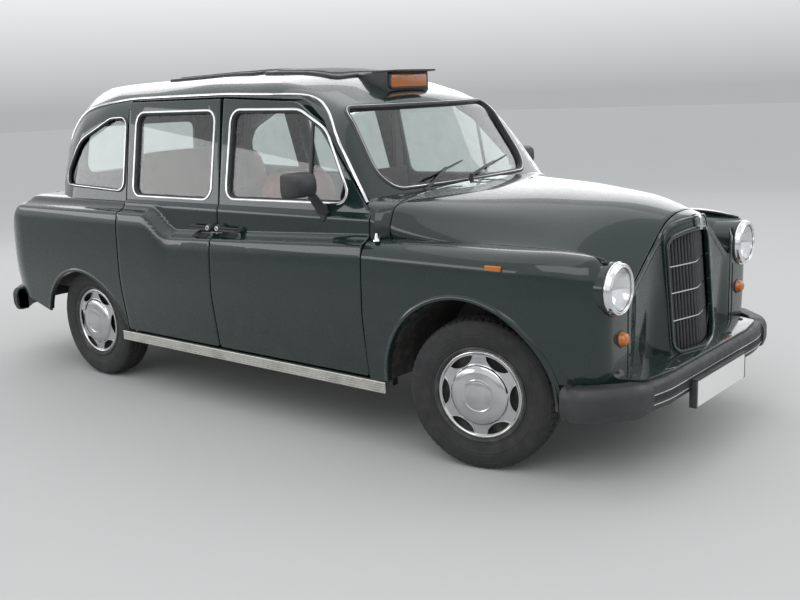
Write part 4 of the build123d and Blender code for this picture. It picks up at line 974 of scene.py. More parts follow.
def wing_grid(level):
    """The left wing's surface, from the door forward and round its nose."""
    turn_x, seam_y, base = NOSE_FACE - 0.2, 0.7, 0.66
    spots = [(x, 90.0) for x in np.arange(A_SEAM + SHUT_GAP / 2, turn_x, 0.014)]
    spots += [(turn_x, a) for a in np.linspace(90, -42, 62)]
    rises = np.linspace(-68, 90, 84)
    return cast_grid(wing_distance, spots, rises, lambda x, a: (x, seam_y, base), level, 1.2)


FRONT_ARCH = (FRONT_AXLE, AXLE_HEIGHT, 0.432)
REAR_ARCH = (REAR_AXLE - 0.015, 0.225, 0.43)


def wing_inside():
    """The space inboard of a left wing's top, along the bonnet's shut line."""
    x = np.linspace(A_SEAM - 0.1, BONNET_END + 0.002, 40)
    edge = np.stack([x, np.where(x < BONNET_START, 0.7915, seam_width(x)) - 0.0005], 1)
    return prism(np.vstack([[(x[0], 0.2), (x[-1], 0.2)], edge[::-1]]), 2, 0.3, 1.1)


SCUTTLE_REAR = [
    # x ahead of the seam, y, z: where the scuttle meets the door and the foot of the screen, on the left
    (0.004, 0.7905, 0.972), (0.004, 0.7895, 1.02), (0.004, 0.7865, 1.072), (0.0, 0.774, 1.098),
    (-0.026, 0.762, 1.13), (-0.046, 0.73, 1.152), (-0.03, 0.66, 1.162), (-0.006, 0.55, 1.163),
    (0.018, 0.3, 1.163), (0.03, 0.0, 1.163)]


def scuttle_panel():
    """The panel between the doors, the foot of the screen and the bonnet."""
    rear = np.array([(A_SEAM + x, y, z) for x, y, z in SCUTTLE_REAR])
    rear = spaced(rear, 0.012, closed=False)
    front = net_surface(bonnet_net(), 90, 150)[0][:75]
    front = spaced(front, 0.012, closed=False)
    count = 90
    run = np.linspace(0, 1, count)
    low, high = (np.stack([np.interp(run, np.linspace(0, 1, len(line)), line[:, k]) for k in range(3)], 1)
                 for line in (rear, front))
    high[:, 0] = BONNET_START - 0.006
    rows = []
    for share in np.linspace(0, 1, 16):
        row = low + (high - low) * share
        row[:, 1] += 0.018 * sin(pi * share) * np.clip(row[:, 1] / 0.75, 0, 1) ** 6
        row[:, 2] -= 0.012 * sin(pi * share) * (1 - np.clip(row[:, 1] / 0.75, 0, 1) ** 6)
        rows.append(row)
    turned = high.copy()
    turned[:, 0] += 0.001
    turned[:, 2] -= 0.012
    rows.append(turned)
    left = np.array(rows)
    whole = np.concatenate([left, (left * np.array([1, -1, 1]))[:, ::-1][:, 1:]], axis=1)
    return shell(whole, inward(whole, -0.003))


def front_wing(panel):
    """The left front wing with its arch cut and its foot trimmed."""
    made = shell(wing_grid(0.0), wing_grid(-panel))
    cutters = [
        prism(circle(*FRONT_ARCH), 1, 0.3, 1.1),
        box_of(0.8, FRONT_AXLE + 0.455, 0.2, 1.1, 0.0, 0.34),
        box_of(FRONT_AXLE + 0.4, 2.4, 0.2, 1.1, 0.0, 0.458),
        wing_inside(),
        prism(circle(0.658, 0.838, 0.0885), 0, 1.95, 2.3)]
    return cut(made, *cutters)


def wing_side(points):
    """Half-width of the left front wing's side at an x and z."""
    return side_of(wing_distance, points, 0.7, 0.4)


def arch_lip(arch, foot, distance_y):
    """The rolled lip round a left wheel arch, from foot to foot."""
    x, z, radius = arch
    start = asin(max(-1.0, min(1.0, (foot - z) / radius)))
    turn = np.linspace(start, pi - start, 90)
    path = np.stack([x + radius * np.cos(turn), np.zeros(90), z + radius * np.sin(turn)], 1)
    path[:, 1] = distance_y(path) - 0.002
    section = [(-0.004, -0.02), (0.002, -0.022), (0.003, 0.002), (0.0, 0.007), (-0.006, 0.008),
               (-0.016, 0.0045), (-0.024, 0.0), (-0.022, -0.006), (-0.006, -0.003)]
    return sweep(path, OUTWARD, section, closed=False)


class CAB_OT_side_panels(bpy.types.Operator):
    """Skin the doors and the greenhouse, with the frames of the side windows and the drip rails"""
    bl_idname = "cab.side_panels"
    bl_label = "Side panels"

    def execute(self, context):
        sizes = context.scene.cab_sizes
        for door, ring, window in (("front_door", front_door_ring, FRONT_WINDOW),
                                   ("rear_door", rear_door_ring, REAR_WINDOW)):
            body = door + "_{}_body"
            dress_pair(door_panel(ring, window), door + "_panel_{}", GREEN, door + "_{}", body)
            bright, channel = window_trim(window, sizes.trim_width)
            dress_pair(bright, door + "_window_trim_{}", BRIGHT, body=body)
            dress_pair(channel, door + "_window_channel_{}", BLACK, body=body)
        dress(cab_shell(), "greenhouse", GREEN, "cab_shell", angle=30)
        dress_pair(drip_rail(sizes.drip_width), "drip_rail_{}", BRIGHT, "drip_rails")
        return {"FINISHED"}


class CAB_OT_front(bpy.types.Operator):
    """Skin the bonnet, the scuttle and the front wings, and form the wheel houses"""
    bl_idname = "cab.front"
    bl_label = "Front"

    def execute(self, context):
        panel = context.scene.cab_sizes.panel_thickness
        dress(bonnet_lid(panel), "bonnet_lid", GREEN, "bonnet", "bonnet_body", 40)
        dress(scuttle_panel(), "scuttle_panel", GREEN, "scuttle", angle=50)
        wing = joined([front_wing(panel), arch_lip(FRONT_ARCH, 0.345, wing_side)])
        dress_pair(wing, "front_wing_{}", GREEN, "front_wings", angle=40)
        dress_pair(wheel_house(), "wheel_house_{}", "chassis_black")
        return {"FINISHED"}


FRONT_AXES = {"lamp": (0.658, 0.838), "indicator": (0.612, 0.626)}
GRILLE_HALF, GRILLE_FOOT, GRILLE_TOP = 0.205, 0.484, 0.998
FRAME_HALF = 0.23
NOSE_FOOT = 0.458


def grille_ring(grow=0.0):
    """The grille opening in y and z."""
    half, foot, top = GRILLE_HALF + grow, GRILLE_FOOT - grow, GRILLE_TOP - 0.036 + grow
    return rounded([(half, foot, 0.055 + grow), (half, top, 0.06), (0, GRILLE_TOP + grow, 0.9),
                    (-half, top, 0.06), (-half, foot, 0.055 + grow)])


def grille_face(y, z):
    """How far forward the pointed surround of the grille stands."""
    return 2.203 - 0.25 * np.sqrt(y * y + 0.0004) - 0.085 * (z - 0.735)


def nose_face(y, z):
    """How far forward the nose stands between the lamps: surround, hollow flank and lamp pod."""
    y = np.abs(y)
    hollow = 2.113 - 0.07 * np.maximum(0, 0.8 - z)
    edge = grille_face(FRAME_HALF, z)
    flank = hollow + (edge - 0.006 - hollow) * np.clip(1 - (y - FRAME_HALF) / 0.12, 0, 1) ** 2.4
    flank += (NOSE_FACE - 0.004 - hollow) * smooth_step(y, 0.43, 0.535)
    return np.where(y <= FRAME_HALF, grille_face(y, z), flank)


def bonnet_front(y):
    """Height of the bonnet's front edge across the cab."""
    row = net_surface(bonnet_net(), 90, 150)[-1]
    order = np.argsort(row[:, 1])
    return np.interp(y, row[order, 1], row[order, 2])


def nose_panel(panel):
    """The pointed nose between the wings, rolled over to meet the bonnet, and open at the grille."""
    across = np.concatenate([np.linspace(0, 0.222, 30), np.linspace(0.2245, 0.245, 12),
                             np.linspace(0.25, 0.548, 46)])
    across = np.concatenate([-across[:0:-1], across])
    grid = []
    for y in across:
        start, top = BONNET_END + 0.005, float(bonnet_front(y))
        face = float(nose_face(y, top))
        fall = 0.36 if abs(y) < 0.4 else 0.15
        corner = top - 0.002 - fall * max(face - start, 0.0)
        radius = 0.034
        line = rounded([(start - 0.016, top - 0.022, 0), (start, top - 0.001, 0.006),
                        (max(face, start + 0.008), corner, radius),
                        (float(nose_face(y, NOSE_FOOT)), NOSE_FOOT, 0)], closed=False, turn=5)
        line = spaced(line, (line[:, 1].max() - NOSE_FOOT) / 90, closed=False)
        run = np.linspace(0, len(line) - 1, 96)
        x, z = (np.interp(run, range(len(line)), line[:, k]) for k in (0, 1))
        low = z < corner - radius
        x = np.where(low, nose_face(np.full_like(z, y), z), x)
        grid.append(np.stack([x, np.full_like(x, y), z], 1))
    grid = np.array(grid)
    return cut(shell(grid, inward(grid, -panel)), prism(grille_ring(), 0, 1.9, 2.4))


def on_nose(ring, lift=0.0):
    """A path on the nose through an outline in y and z."""
    flat = spaced(ring, 0.012)
    return np.stack([nose_face(flat[:, 0], flat[:, 1]) + lift, flat[:, 0], flat[:, 1]], 1)


def frame_ring():
    """The outer edge of the grille's raised surround, in y and z."""
    half = FRAME_HALF - 0.003
    return rounded([(half, 0.476, 0.05), (half, 1.03, 0.095), (0.06, 1.046, 0.3), (-0.06, 1.046, 0.3),
                    (-half, 1.03, 0.095), (-half, 0.476, 0.05)])


SHELF_Z = (0.456, 0.47)


def shelf():
    """The painted shelf between the nose and the bumper."""
    tip = 2.257
    plan = rounded([(2.0, -0.69, 0.02), (tip - 0.03, -0.6, 0.06), (tip, -0.4, 0), (tip, 0.4, 0),
                    (tip - 0.03, 0.6, 0.06), (2.0, 0.69, 0.02)])
    return bevelled(prism(plan, 2, *SHELF_Z), 0.003)


GRILLE_RAILS = (0.612, 0.732, 0.847)


def grille_slats(count):
    """Upright slats set back in the opening, following its point."""
    pitch = 2 * GRILLE_HALF / (count + 1)
    slats = []
    for i in range(count):
        y = -GRILLE_HALF + pitch * (i + 1)
        top = GRILLE_TOP + 0.01 - 0.04 * (y / GRILLE_HALF) ** 2
        path = np.array([(float(grille_face(y, z)) - 0.026, y, z) for z in np.linspace(GRILLE_FOOT - 0.008,
                                                                                       top, 14)])
        section = [(-0.0045, -0.018), (0.0045, -0.018), (0.006, -0.002), (0.003, 0.003), (-0.003, 0.003),
                   (-0.006, -0.002)]
        slats.append(sweep(path, FORWARD, section, closed=False))
    return joined(slats)


def grille_rails():
    """The thin bright rails across the slats."""
    rails = []
    for z in GRILLE_RAILS:
        across = np.linspace(-GRILLE_HALF + 0.002, GRILLE_HALF - 0.002, 41)
        path = np.stack([grille_face(across, z) - 0.0215, across, np.full(41, z)], 1)
        rails.append(sweep(path, FORWARD, oval(0.006, 0.006, 0, 8), closed=False))
    return joined(rails)


def wheel_house():
    """The left inner arch over a front wheel, open below."""
    x, z, radius = FRONT_ARCH
    rim, hole = circle(x, z, radius + 0.012, 72), circle(x, z, radius, 72)
    cover, wall = prism(rim, 1, 0.384, 0.822), prism(rim, 1, 0.372, 0.384)
    cut(cover, prism(hole, 1, 0.37, 0.83), box_of(0.9, 2.1, 0.3, 0.9, -0.2, 0.348))
    cut(wall, box_of(0.9, 2.1, 0.3, 0.9, -0.2, AXLE_HEIGHT + 0.19))
    return joined([cover, wall])


# Tail

TAIL_ROWS = [
    # x and z over the deck and down the back, with the radius of each turn
    (REAR_AXLE + 0.6, WAIST, 0), (REAR_AXLE - 0.556, WAIST, 0.25), (REAR_AXLE - 0.705, 1.042, 0.22),
    (REAR_AXLE - 0.865, 0.9, 0.25), (REAR_AXLE - 0.96, 0.7, 0.3), (TAIL_FACE, 0.48, 0.4),
    (TAIL_FACE - 0.001, 0.3, 0)]
TAIL_LINE = rounded(TAIL_ROWS, closed=False, turn=3.0)
TAIL_STEP = np.diff(TAIL_LINE, axis=0)
TAIL_OUT = unit(np.stack([TAIL_STEP[:, 1], -TAIL_STEP[:, 0]], 1))
TAIL_CORNER = 0.38


def tail_distance(points):
    """Distance to the outside of the body behind the rear doors."""
    x, y, z = points.T
    side = np.abs(y) - side_y(C_SEAM, z)
    flat = np.stack([x, z], 1)
    back = np.max(np.einsum("pkc,kc->pk", flat[:, None, :] - TAIL_LINE[None, :-1, :], TAIL_OUT), axis=1)
    corner = round_meet(side, TAIL_FACE - x, TAIL_CORNER)
    return round_meet(corner, back, 0.035 + 0.08 * smooth_step(x, REAR_AXLE - 0.55, REAR_AXLE - 0.95))


def tail_grid(level):
    """The tail's surface from the left door round the back to the right door."""
    spot_x, base = TAIL_FACE + TAIL_CORNER + 0.04, 0.74
    front = C_SEAM - SHUT_GAP / 2
    spots = [(x, 90.0) for x in np.arange(front, spot_x, -0.018)]
    spots += [(spot_x, a) for a in np.linspace(90, 180, 64)]
    rises = np.concatenate([np.linspace(-48, 20, 40), np.linspace(21, 90, 70)])
    left = cast_grid(tail_distance, spots, rises, lambda x, a: (x, 0.35 * sin(a), base), level, 2.0)
    return np.concatenate([left, left[-2::-1] * np.array([1, -1, 1])])


LID_FOOT, LID_TOP_X, LID_HALF = 0.505, REAR_AXLE - 0.66, (0.455, 0.43)


def lid_cutter(grow=0.0):
    """The space that holds the boot lid."""
    foot, top, low = LID_HALF[0] + grow, LID_HALF[1] + grow, LID_FOOT - grow
    outline = rounded([(-foot, low, 0.05), (foot, low, 0.05), (top, 1.2, 0), (-top, 1.2, 0)])
    return prism(outline, 0, TAIL_FACE - 0.2, LID_TOP_X + grow)


def tail_body():
    """The rear wings and deck in one skin, and the boot lid cut from it."""
    whole = shell(tail_grid(0.0), tail_grid(-0.014))
    slab = box_of(REAR_AXLE - 0.235, C_SEAM + 0.1, -0.735, 0.735, WAIST - 0.06, 1.3)
    foot = prism(np.array([(TAIL_FACE - 0.1, 0.0), (TAIL_FACE - 0.1, 0.46), (REAR_AXLE - 0.72, 0.456),
                           (REAR_AXLE - 0.43, 0.37), (REAR_AXLE - 0.33, 0.33), (0.0, 0.33), (0.0, 0.0)]), 1,
                           -1, 1)
    cut(whole, slab, foot, prism(circle(*REAR_ARCH), 1, -1, 1))
    lid = cut(copied(whole), lid_cutter(), keep=True)
    return cut(whole, lid_cutter(SHUT_GAP)), lid


def boot_sides():
    """The inner panels that close the boot off from the wheel arches."""
    front = REAR_AXLE - 0.25
    outline = np.array([(TAIL_FACE + 0.05, 0.47), (TAIL_FACE + 0.05, 0.6), (REAR_AXLE - 0.85, 0.86),
                        (REAR_AXLE - 0.7, 0.995), (REAR_AXLE - 0.56, 1.055), (front, 1.06), (front, 0.47)])
    return [prism(outline, 1, *sorted((sign * 0.6, sign * 0.606))) for sign in (-1, 1)]


def tail_side(points):
    """Half-width of the tail's side at an x and z."""
    return side_of(tail_distance, points, 0.6, 0.5)


# Lathed pieces

def lathe(profile, count=96, turn=12.0):
    """An outline turned about +X: (radius, along) in metres, or rounded corners in millimetres."""
    if len(profile[0]) == 3:
        profile = rounded(np.array(profile) / 1000, turn=turn)
    angles = np.linspace(0, 2 * pi, count, endpoint=False)
    size = len(profile)
    points = [(v, r * cos(t), r * sin(t)) for t in angles for r, v in profile]
    faces = []
    for i in range(count):
        a, b = i * size, (i + 1) % count * size
        faces += [(a + k, a + (k + 1) % size, b + (k + 1) % size, b + k) for k in range(size)]
    return faced_out(mesh_object("lathe", points, faces), merge=True)


def aimed(made, place_at, way=(1, 0, 0)):
    """Turn a piece made along +X to point a given way, and move it there."""
    way = Vector(way).normalized()
    turn = Vector((1, 0, 0)).rotation_difference(way).to_matrix().to_4x4()
    made.data.transform(Matrix.Translation(place_at) @ turn)
    made.data.update()
    return made


LAMP_BEZEL = [
    (86, 0, 0), (109, 0, 0), (110, 8, 3), (107, 13, 3), (103.5, 26, 6),
    (97, 28.5, 3), (95.5, 26, 2), (92, 29, 3), (86.5, 29.5, 2), (86, 20, 0)]
LAMP_BOWL = [
    (86.2, 20, 0), (85, 18, 0), (68, -12, 80), (40, -34, 80), (12, -43, 0), (0, -43, 0),
    (0, -46, 0), (14, -46, 0), (43, -37, 80), (72, -14, 80), (88.5, 18, 0)]
LAMP_LENS = [
    (0, 34.5, 0), (30, 33.5, 90), (62, 29.5, 90), (85, 21.5, 10), (85, 19, 0),
    (61, 26.5, 90), (29, 30.5, 90), (0, 31.5, 0)]
LAMP_BULB = [(0, -42, 0), (9, -42, 0), (8, -12, 3), (6, -4, 5), (0, -3, 0)]
LAMP_GASKET = [(100, -4, 0), (109, -4, 2), (110.8, 1, 2), (109, 4, 2), (100, 3, 0)]


def lamp_pods():
    """The painted pods that carry the headlamps on the wings."""
    line = [(98, -120, 0), (106, -120, 0), (108, -4, 3), (98, -2, 0)]
    lamp_y, lamp_z = FRONT_AXES["lamp"]
    return [aimed(lathe(line), (NOSE_FACE, sign * lamp_y, lamp_z)) for sign in (-1, 1)]


AMBER_DOME = [(0, 36, 0), (12, 35, 30), (25, 27, 12), (30, 10, 4), (32, 4, 2), (32, 0, 0), (0, 0, 0)]

# Wheels, about +X with the outside forward: radius and distance out from the wheel's middle, in metres,
# and in millimetres for the rim
TYRE_RADIUS = 0.338
RIM_LINE = [
    (188, -72, 0), (190, -76, 0), (212, -76, 2), (214, -68, 3), (203, -64, 4), (202, -30, 20),
    (196, 0, 30), (202, 50, 20), (204, 64, 4), (215, 69, 3), (214.5, 77, 3), (206, 79, 3),
    (198, 70, 4), (190, 40, 20), (178, 30, 10), (60, 28, 10), (0, 28, 0), (0, 18, 0),
    (170, 18, 20), (186, 0, 20), (188, -50, 0)]
COVER_LINE = [
    # radius, out, corner radius over the cover's face
    (0.0, 0.0905, 0), (0.058, 0.0905, 0), (0.064, 0.0885, 0.003), (0.07, 0.0912, 0.003),
    (0.075, 0.0895, 0.003), (0.104, 0.0865, 0.05), (0.128, 0.079, 0.02), (0.134, 0.07, 0.006),
    (0.14, 0.0685, 0.004), (0.16, 0.0665, 0.05), (0.18, 0.064, 0.006), (0.1835, 0.069, 0.003),
    (0.188, 0.0715, 0.004), (0.193, 0.07, 0.003), (0.197, 0.0655, 0.004), (0.202, 0.069, 0.004),
    (0.2055, 0.07, 0.003), (0.2085, 0.066, 0)]
SLOT_OUTER, SLOT_DEPTH, SLOT_BOW, SLOT_HALF = 0.177, 0.038, 0.002, radians(20)


def slot_ring(index, count, grow=0.0):
    """One lens-shaped slot of the wheel cover, in y and z."""
    middle = 2 * pi * index / count
    ring = []
    for sign, depth in ((1, SLOT_BOW + grow), (-1, SLOT_DEPTH + grow)):
        for t in np.linspace(-1, 1, 17)[:-1]:
            t = t * sign
            radius = SLOT_OUTER + sign * depth * max(1 - t * t, 0) ** 0.56
            angle = middle + t * (SLOT_HALF + grow / SLOT_OUTER)
            ring.append((radius * cos(angle), radius * sin(angle)))
    return np.array(ring)


def wheel_cover(count):
    """The bright pressed cover: domed middle, step ring, slots with raised edges, and an outer band."""
    outer = rounded(COVER_LINE, closed=False, turn=15.0)
    inner = [(max(r - 0.0006, 0.0), v - 0.003) for r, v in outer[::-1]]
    cover = lathe([tuple(p) for p in outer] + inner, 144)
    cutters = [prism(slot_ring(i, count), 0, 0.0, 0.2) for i in range(count)]
    cut(cover, *cutters)
    beads = []
    for i in range(count):
        ring = spaced(slot_ring(i, count, 0.0025), 0.004)
        out = np.interp(np.hypot(ring[:, 0], ring[:, 1]), outer[:, 0], outer[:, 1])
        path = np.column_stack([out, ring])
        beads.append(sweep(path, FORWARD, oval(0.006, 0.005, 0.0005, 8)))
    return joined([cover, *beads])


def tyre(blocks):
    """A road tyre: bulged walls with moulded rings, grooved tread and sipes."""
    wall = [(0.206, 0.06, 0), (0.212, 0.072, 0.006), (0.222, 0.0775, 0.004), (0.226, 0.0765, 0.002),
            (0.23, 0.08, 0.004), (0.262, 0.0878, 0.06), (0.2665, 0.0862, 0.002), (0.2705, 0.0876, 0.002),
            (0.3, 0.085, 0.05), (0.3035, 0.0828, 0.002), (0.3065, 0.0838, 0.002), (0.324, 0.0755, 0.016),
            (0.333, 0.066, 0.006), (0.3345, 0.056, 0.01)]
    grooves = [0.042, 0.015]
    tread = []
    for middle in grooves:
        crown = TYRE_RADIUS - 0.0022 * (middle / 0.045) ** 2
        tread += [(crown, middle + 0.0042, 0), (crown - 0.0065, middle + 0.003, 0),
                  (crown - 0.0065, middle - 0.003, 0), (crown, middle - 0.0042, 0)]
    half = [tuple(p) for p in rounded(wall + tread + [(TYRE_RADIUS, 0.0, 0)], closed=False, turn=12.0)]
    line = half + [(r, -v) for r, v in half[-2::-1]]
    line += [(0.2035, -0.056), (0.203, 0.0), (0.2035, 0.056)]
    steps = 4
    count = blocks * steps
    points, faces = [], []
    size = len(line)
    for i in range(count):
        angle = 2 * pi * i / count
        for r, v in line:
            lag = 0.5 if abs(v) < 0.03 else 0.0
            in_sipe = (i / steps + lag + 0.35 * abs(v) / 0.06) % 1.0 < 0.26
            deep = 0.005 if in_sipe and r > 0.3315 and 0.012 < abs(v) < 0.074 else 0.0
            points.append((v, (r - deep) * cos(angle), (r - deep) * sin(angle)))
    for i in range(count):
        a, b = i * size, (i + 1) % count * size
        faces += [(a + k, a + (k + 1) % size, b + (k + 1) % size, b + k) for k in range(size)]
    return faced_out(mesh_object("tyre", points, faces), merge=True)


WHEELS = ("front_left", "front_right", "rear_left", "rear_right")


def wheel_frame(name):
    """A wheel's middle and its outward direction, from its joint in the frame."""
    end, side = name.split("_")
    joint = next(j for j in frame["joints"] if j["name"] == f"{end}_wheel_{side}_spin")
    outward = Vector(joint["axis"]).normalized() * (1 if side == "left" else -1)
    return Vector(joint["pos_m"]), outward


def loft(sections):
    """A closed form through like rings of points."""
    count, size = len(sections), len(sections[0])
    faces = [(i * size + k, i * size + (k + 1) % size, (i + 1) * size + (k + 1) % size, (i + 1) * size + k)
             for i in range(count - 1) for k in range(size)]
    faces += [tuple(range(size)), tuple(range(count * size - 1, (count - 1) * size - 1, -1))]
    return faced_out(mesh_object("loft", np.concatenate(sections), faces), merge=True)


def ring_in_yz(x, half, low, high, radius):
    """A rounded rectangle across the cab at one x."""
    flat = rounded([(-half, low, radius), (half, low, radius), (half, high, radius), (-half, high, radius)],
                   turn=15)
    return np.column_stack([np.full(len(flat), x), flat])


# Bumpers

BUMPER_PLAN = [
    # distance behind the face, half-width, radius: the outside of half a bumper in plan
    (0.29, 0.862, 0), (0.2, 0.862, 0.09), (0.04, 0.706, 0.16), (0.0, 0.48, 0.6)]
BUMPER_SECTION = [
    # height from the middle, out from the face, radius
    (-0.064, -0.07, 0.006), (-0.064, -0.012, 0.014), (-0.036, -0.001, 0.004), (-0.03, -0.006, 0.002),
    (0.004, -0.006, 0.002), (0.01, -0.001, 0.004), (0.042, -0.003, 0.02), (0.058, -0.018, 0.014),
    (0.058, -0.07, 0.006)]
CAP_SECTION = [
    (-0.076, -0.074, 0.006), (-0.078, -0.006, 0.024), (-0.03, 0.011, 0.05), (0.034, 0.01, 0.05),
    (0.066, -0.008, 0.026), (0.066, -0.074, 0.006)]
CAP_START = 0.6
FRONT_BUMPER_FACE = reach("front_bumper", 0, 1) - 0.016


def bumper_path(face, depth, half=None):
    """The bumper's face in plan at its middle height, from side to side, and its outward directions."""
    rows = [(face - min(back, depth), y, r) for back, y, r in BUMPER_PLAN]
    rows += [(x, -y, r) for x, y, r in reversed(rows)]
    flat = spaced(rounded(rows, closed=False, turn=4.0), 0.012, closed=False)
    if half:
        flat = flat[np.abs(flat[:, 1]) < half]
    ahead = np.gradient(flat, axis=0)
    return flat, unit(np.stack([-ahead[:, 1], ahead[:, 0], np.zeros(len(flat))], 1))


def along_bumper(face, depth, height, section, half=None, lift=0.0):
    """A section carried along a bumper's face."""
    flat, outs = bumper_path(face, depth, half)
    path = np.column_stack([flat, np.full(len(flat), height)]) + outs * lift
    return sweep(path, outs, section, closed=False)


def bumper_cap(face, depth, height):
    """The thick rounded rubber end of a bumper on the left, swelling out of the bar."""
    flat, outs = bumper_path(face, depth)
    keep = flat[:, 1] > CAP_START
    flat, outs = flat[keep], outs[keep]
    section = rounded(CAP_SECTION, turn=15.0)
    order = np.argsort(flat[:, 1])
    rings = []
    for i in range(len(flat)):
        swell = min(1.0, 0.8 + 3.2 * (flat[i, 1] - CAP_START))
        last = np.hypot(*(flat[i] - flat[order[-1]])) if flat[i, 0] < face - depth + 0.03 else 1.0
        swell *= 0.86 + 0.14 * min(last / 0.03, 1.0) ** 0.5
        rings.append(np.array([(flat[i, 0] + outs[i, 0] * v * swell, flat[i, 1] + outs[i, 1] * v * swell,
                                height + u * swell)
                               for u, v in section]))
    return loft(rings)


def plate_holder():
    """The black holder of the front plate: backing, sides and an overhanging lip."""
    half, foot, top, face = 0.262, 0.2735, 0.388, reach("front_plate", 0, 1)
    parts = [box_of(face - 0.034, face - 0.0065, -half, half, foot, top),
             box_of(face - 0.034, face + 0.001, -half - 0.014, half + 0.014, top + 0.0005, top + 0.01)]
    for side in (-1, 1):
        low, high = sorted((side * (half + 0.0005), side * (half + 0.014)))
        parts.append(box_of(face - 0.034, face - 0.001, low, high, foot - 0.004, top))
    return joined([bevelled(made, 0.003) for made in parts])


# Fittings of the doors

HANDLE_Z = 0.979
# The seam-side end of each door's handle, and the way that its lever points
HANDLES = {"front_door": (B_SEAM + 0.024, 1), "rear_door": (B_SEAM - 0.024, -1)}


def door_handle(start, way):
    """A black pull handle: a round boss by the seam, a flat lever and its foot, with a black patch below as
    painted shade of the recess under the lever.
    """
    y = float(side_y(start, HANDLE_Z))
    boss = lathe([(0, 40, 0), (15, 40, 4), (21, 28, 6), (24, -4, 0), (0, -4, 0)], 48)
    made = [aimed(boss, (start + way * 0.012, y, HANDLE_Z), (0, 1, 0))]
    for low, height, lift in ((0.0045, 0.01, 0.03), (-0.0085, 0.013, 0.036)):
        x = start + way * np.linspace(0.012, 0.17, 20)
        rise = lift * np.clip((1.03 - np.linspace(0, 1, 20)) / 0.1, 0, 1) ** 0.5
        path = np.stack([x, y + rise, np.full(20, HANDLE_Z + low)], 1)
        made.append(sweep(path, OUTWARD, oval(height, 0.013, 0.0, 12), closed=False))
    foot = lathe([(0, 20, 0), (12, 19, 6), (17, -4, 0), (0, -4, 0)], 40)
    made.append(aimed(foot, (start + way * 0.16, float(side_y(start + way * 0.16, HANDLE_Z)),
                             HANDLE_Z - 0.003), (0, 1, 0)))
    # The black patch below the lever is painted shade: a flat plate on the skin stands in for the shadowed recess,
    # which is not cut.
    low, high = sorted((start + way * 0.02, start + way * 0.15))
    z = 0.948 if way > 0 else 0.938
    slot = rounded([(low, z - 0.01, 0.008), (high, z - 0.01, 0.008), (high, z + 0.008, 0.008),
                    (low, z + 0.008, 0.008)])
    made.append(bend_to_side(plate(slot, [], -0.006, 0.0015, 0.001,
                                   (np.arange(low + 0.02, high, 0.03), [z - 0.004, z + 0.002]))))
    return joined(made)


def door_lock(start, way):
    """The bright lock ring in a handle's boss."""
    ring = lathe([(6, 38.5, 0), (7.5, 43, 1), (11.5, 43, 1.5), (13, 38.5, 0)], 40)
    return aimed(ring, (start + way * 0.012, float(side_y(start, HANDLE_Z)), HANDLE_Z), (0, 1, 0))


def window_divider():
    """The dark upright between a front door's quarterlight and its window, on the left."""
    z = np.linspace(WINDOW_FOOT + 0.004, 1.534, 20)
    x = A_SEAM - 0.415 - 0.05 * (z - WINDOW_FOOT)
    path = np.stack([x, side_y(x, z) - 0.016, z], 1)
    return sweep(path, (0.0, 1.0, 0.2), oval(0.018, 0.016), closed=False)


MIRROR_BACK, MIRROR_DEPTH = A_SEAM - 0.327, 0.09
MIRROR_SPOT = np.array((0.9325, 1.231))


def mirror_ring(half, tall):
    """The mirror's rounded outline in y and z."""
    flat = rounded([(-half, -tall, 0.026), (half, -tall, 0.026), (half, tall, 0.026), (-half, tall, 0.026)],
                   turn=12)
    return flat + MIRROR_SPOT


def mirror_head():
    """The door mirror's moulded head, neck and foot, on the left side."""
    rings = []
    for share in np.linspace(0, 1, 17):
        full = sqrt(max(1 - (0.94 * share) ** 2.8, 0.0))
        flat = mirror_ring(0.0825 * (0.55 + 0.45 * full), 0.057 * (0.5 + 0.5 * full))
        rings.append(np.column_stack([np.full(len(flat), MIRROR_BACK + MIRROR_DEPTH * share), flat]))
    lip = [np.column_stack([np.full(len(rings[0]), MIRROR_BACK + 0.006), mirror_ring(0.077, 0.0515)])]
    head = loft(lip + rings)
    y = WAIST_Y + 0.012
    neck = []
    for x, out, z, half, thick in ((0.052, 0.098, 1.205, 0.022, 0.016), (0.048, 0.08, 1.18, 0.023, 0.017),
                                   (0.044, 0.052, 1.148, 0.026, 0.019), (0.04, 0.022, 1.118, 0.031, 0.019),
                                   (0.038, 0.004, 1.092, 0.04, 0.018)):
        turn = np.linspace(0, 2 * pi, 20, endpoint=False)
        neck.append(np.stack([MIRROR_BACK + x + half * np.cos(turn), y + out + thick * np.sin(turn),
                              z - 0.5 * thick * np.sin(turn)], 1))
    foot = lathe([(0, 16, 0), (34, 14, 6), (46, 2, 3), (46, -8, 0), (0, -8, 0)], 48)
    foot.data.transform(Matrix.Diagonal((1.0, 0.52, 1.0, 1.0)))
    return joined([head, loft(neck), aimed(foot, (MIRROR_BACK + 0.038, y - 0.002, 1.088), (0, 1, 0))])


def mirror_glass():
    """The mirror itself, facing back."""
    return bevelled(prism(mirror_ring(0.076, 0.0505), 0, MIRROR_BACK + 0.001, MIRROR_BACK + 0.005), 0.001)


# Roof sign, hatches and wipers

SIGN_REAR, SIGN_FRONT = reach("roof_sign", 0, 0), reach("roof_sign", 0, 1)


def roof_z(x, y):
    """Height of the roof's skin."""
    points = np.stack([np.asarray(x, float), np.asarray(y, float), np.full(np.shape(x), 1.0)], 1)
    return cast(cab_distance, points, UPWARD, 0.0, 1.2)[:, 2]


SIGN_START, SIGN_LENS_X = SIGN_REAR - 0.19, SIGN_FRONT - 0.146
SIGN_BROW_X, SIGN_TOP = SIGN_FRONT - 0.088, 1.738
SIGN_LENS = [(-0.15, 1.656, 0.014), (0.15, 1.656, 0.014), (0.146, 1.722, 0.014), (-0.146, 1.722, 0.014)]


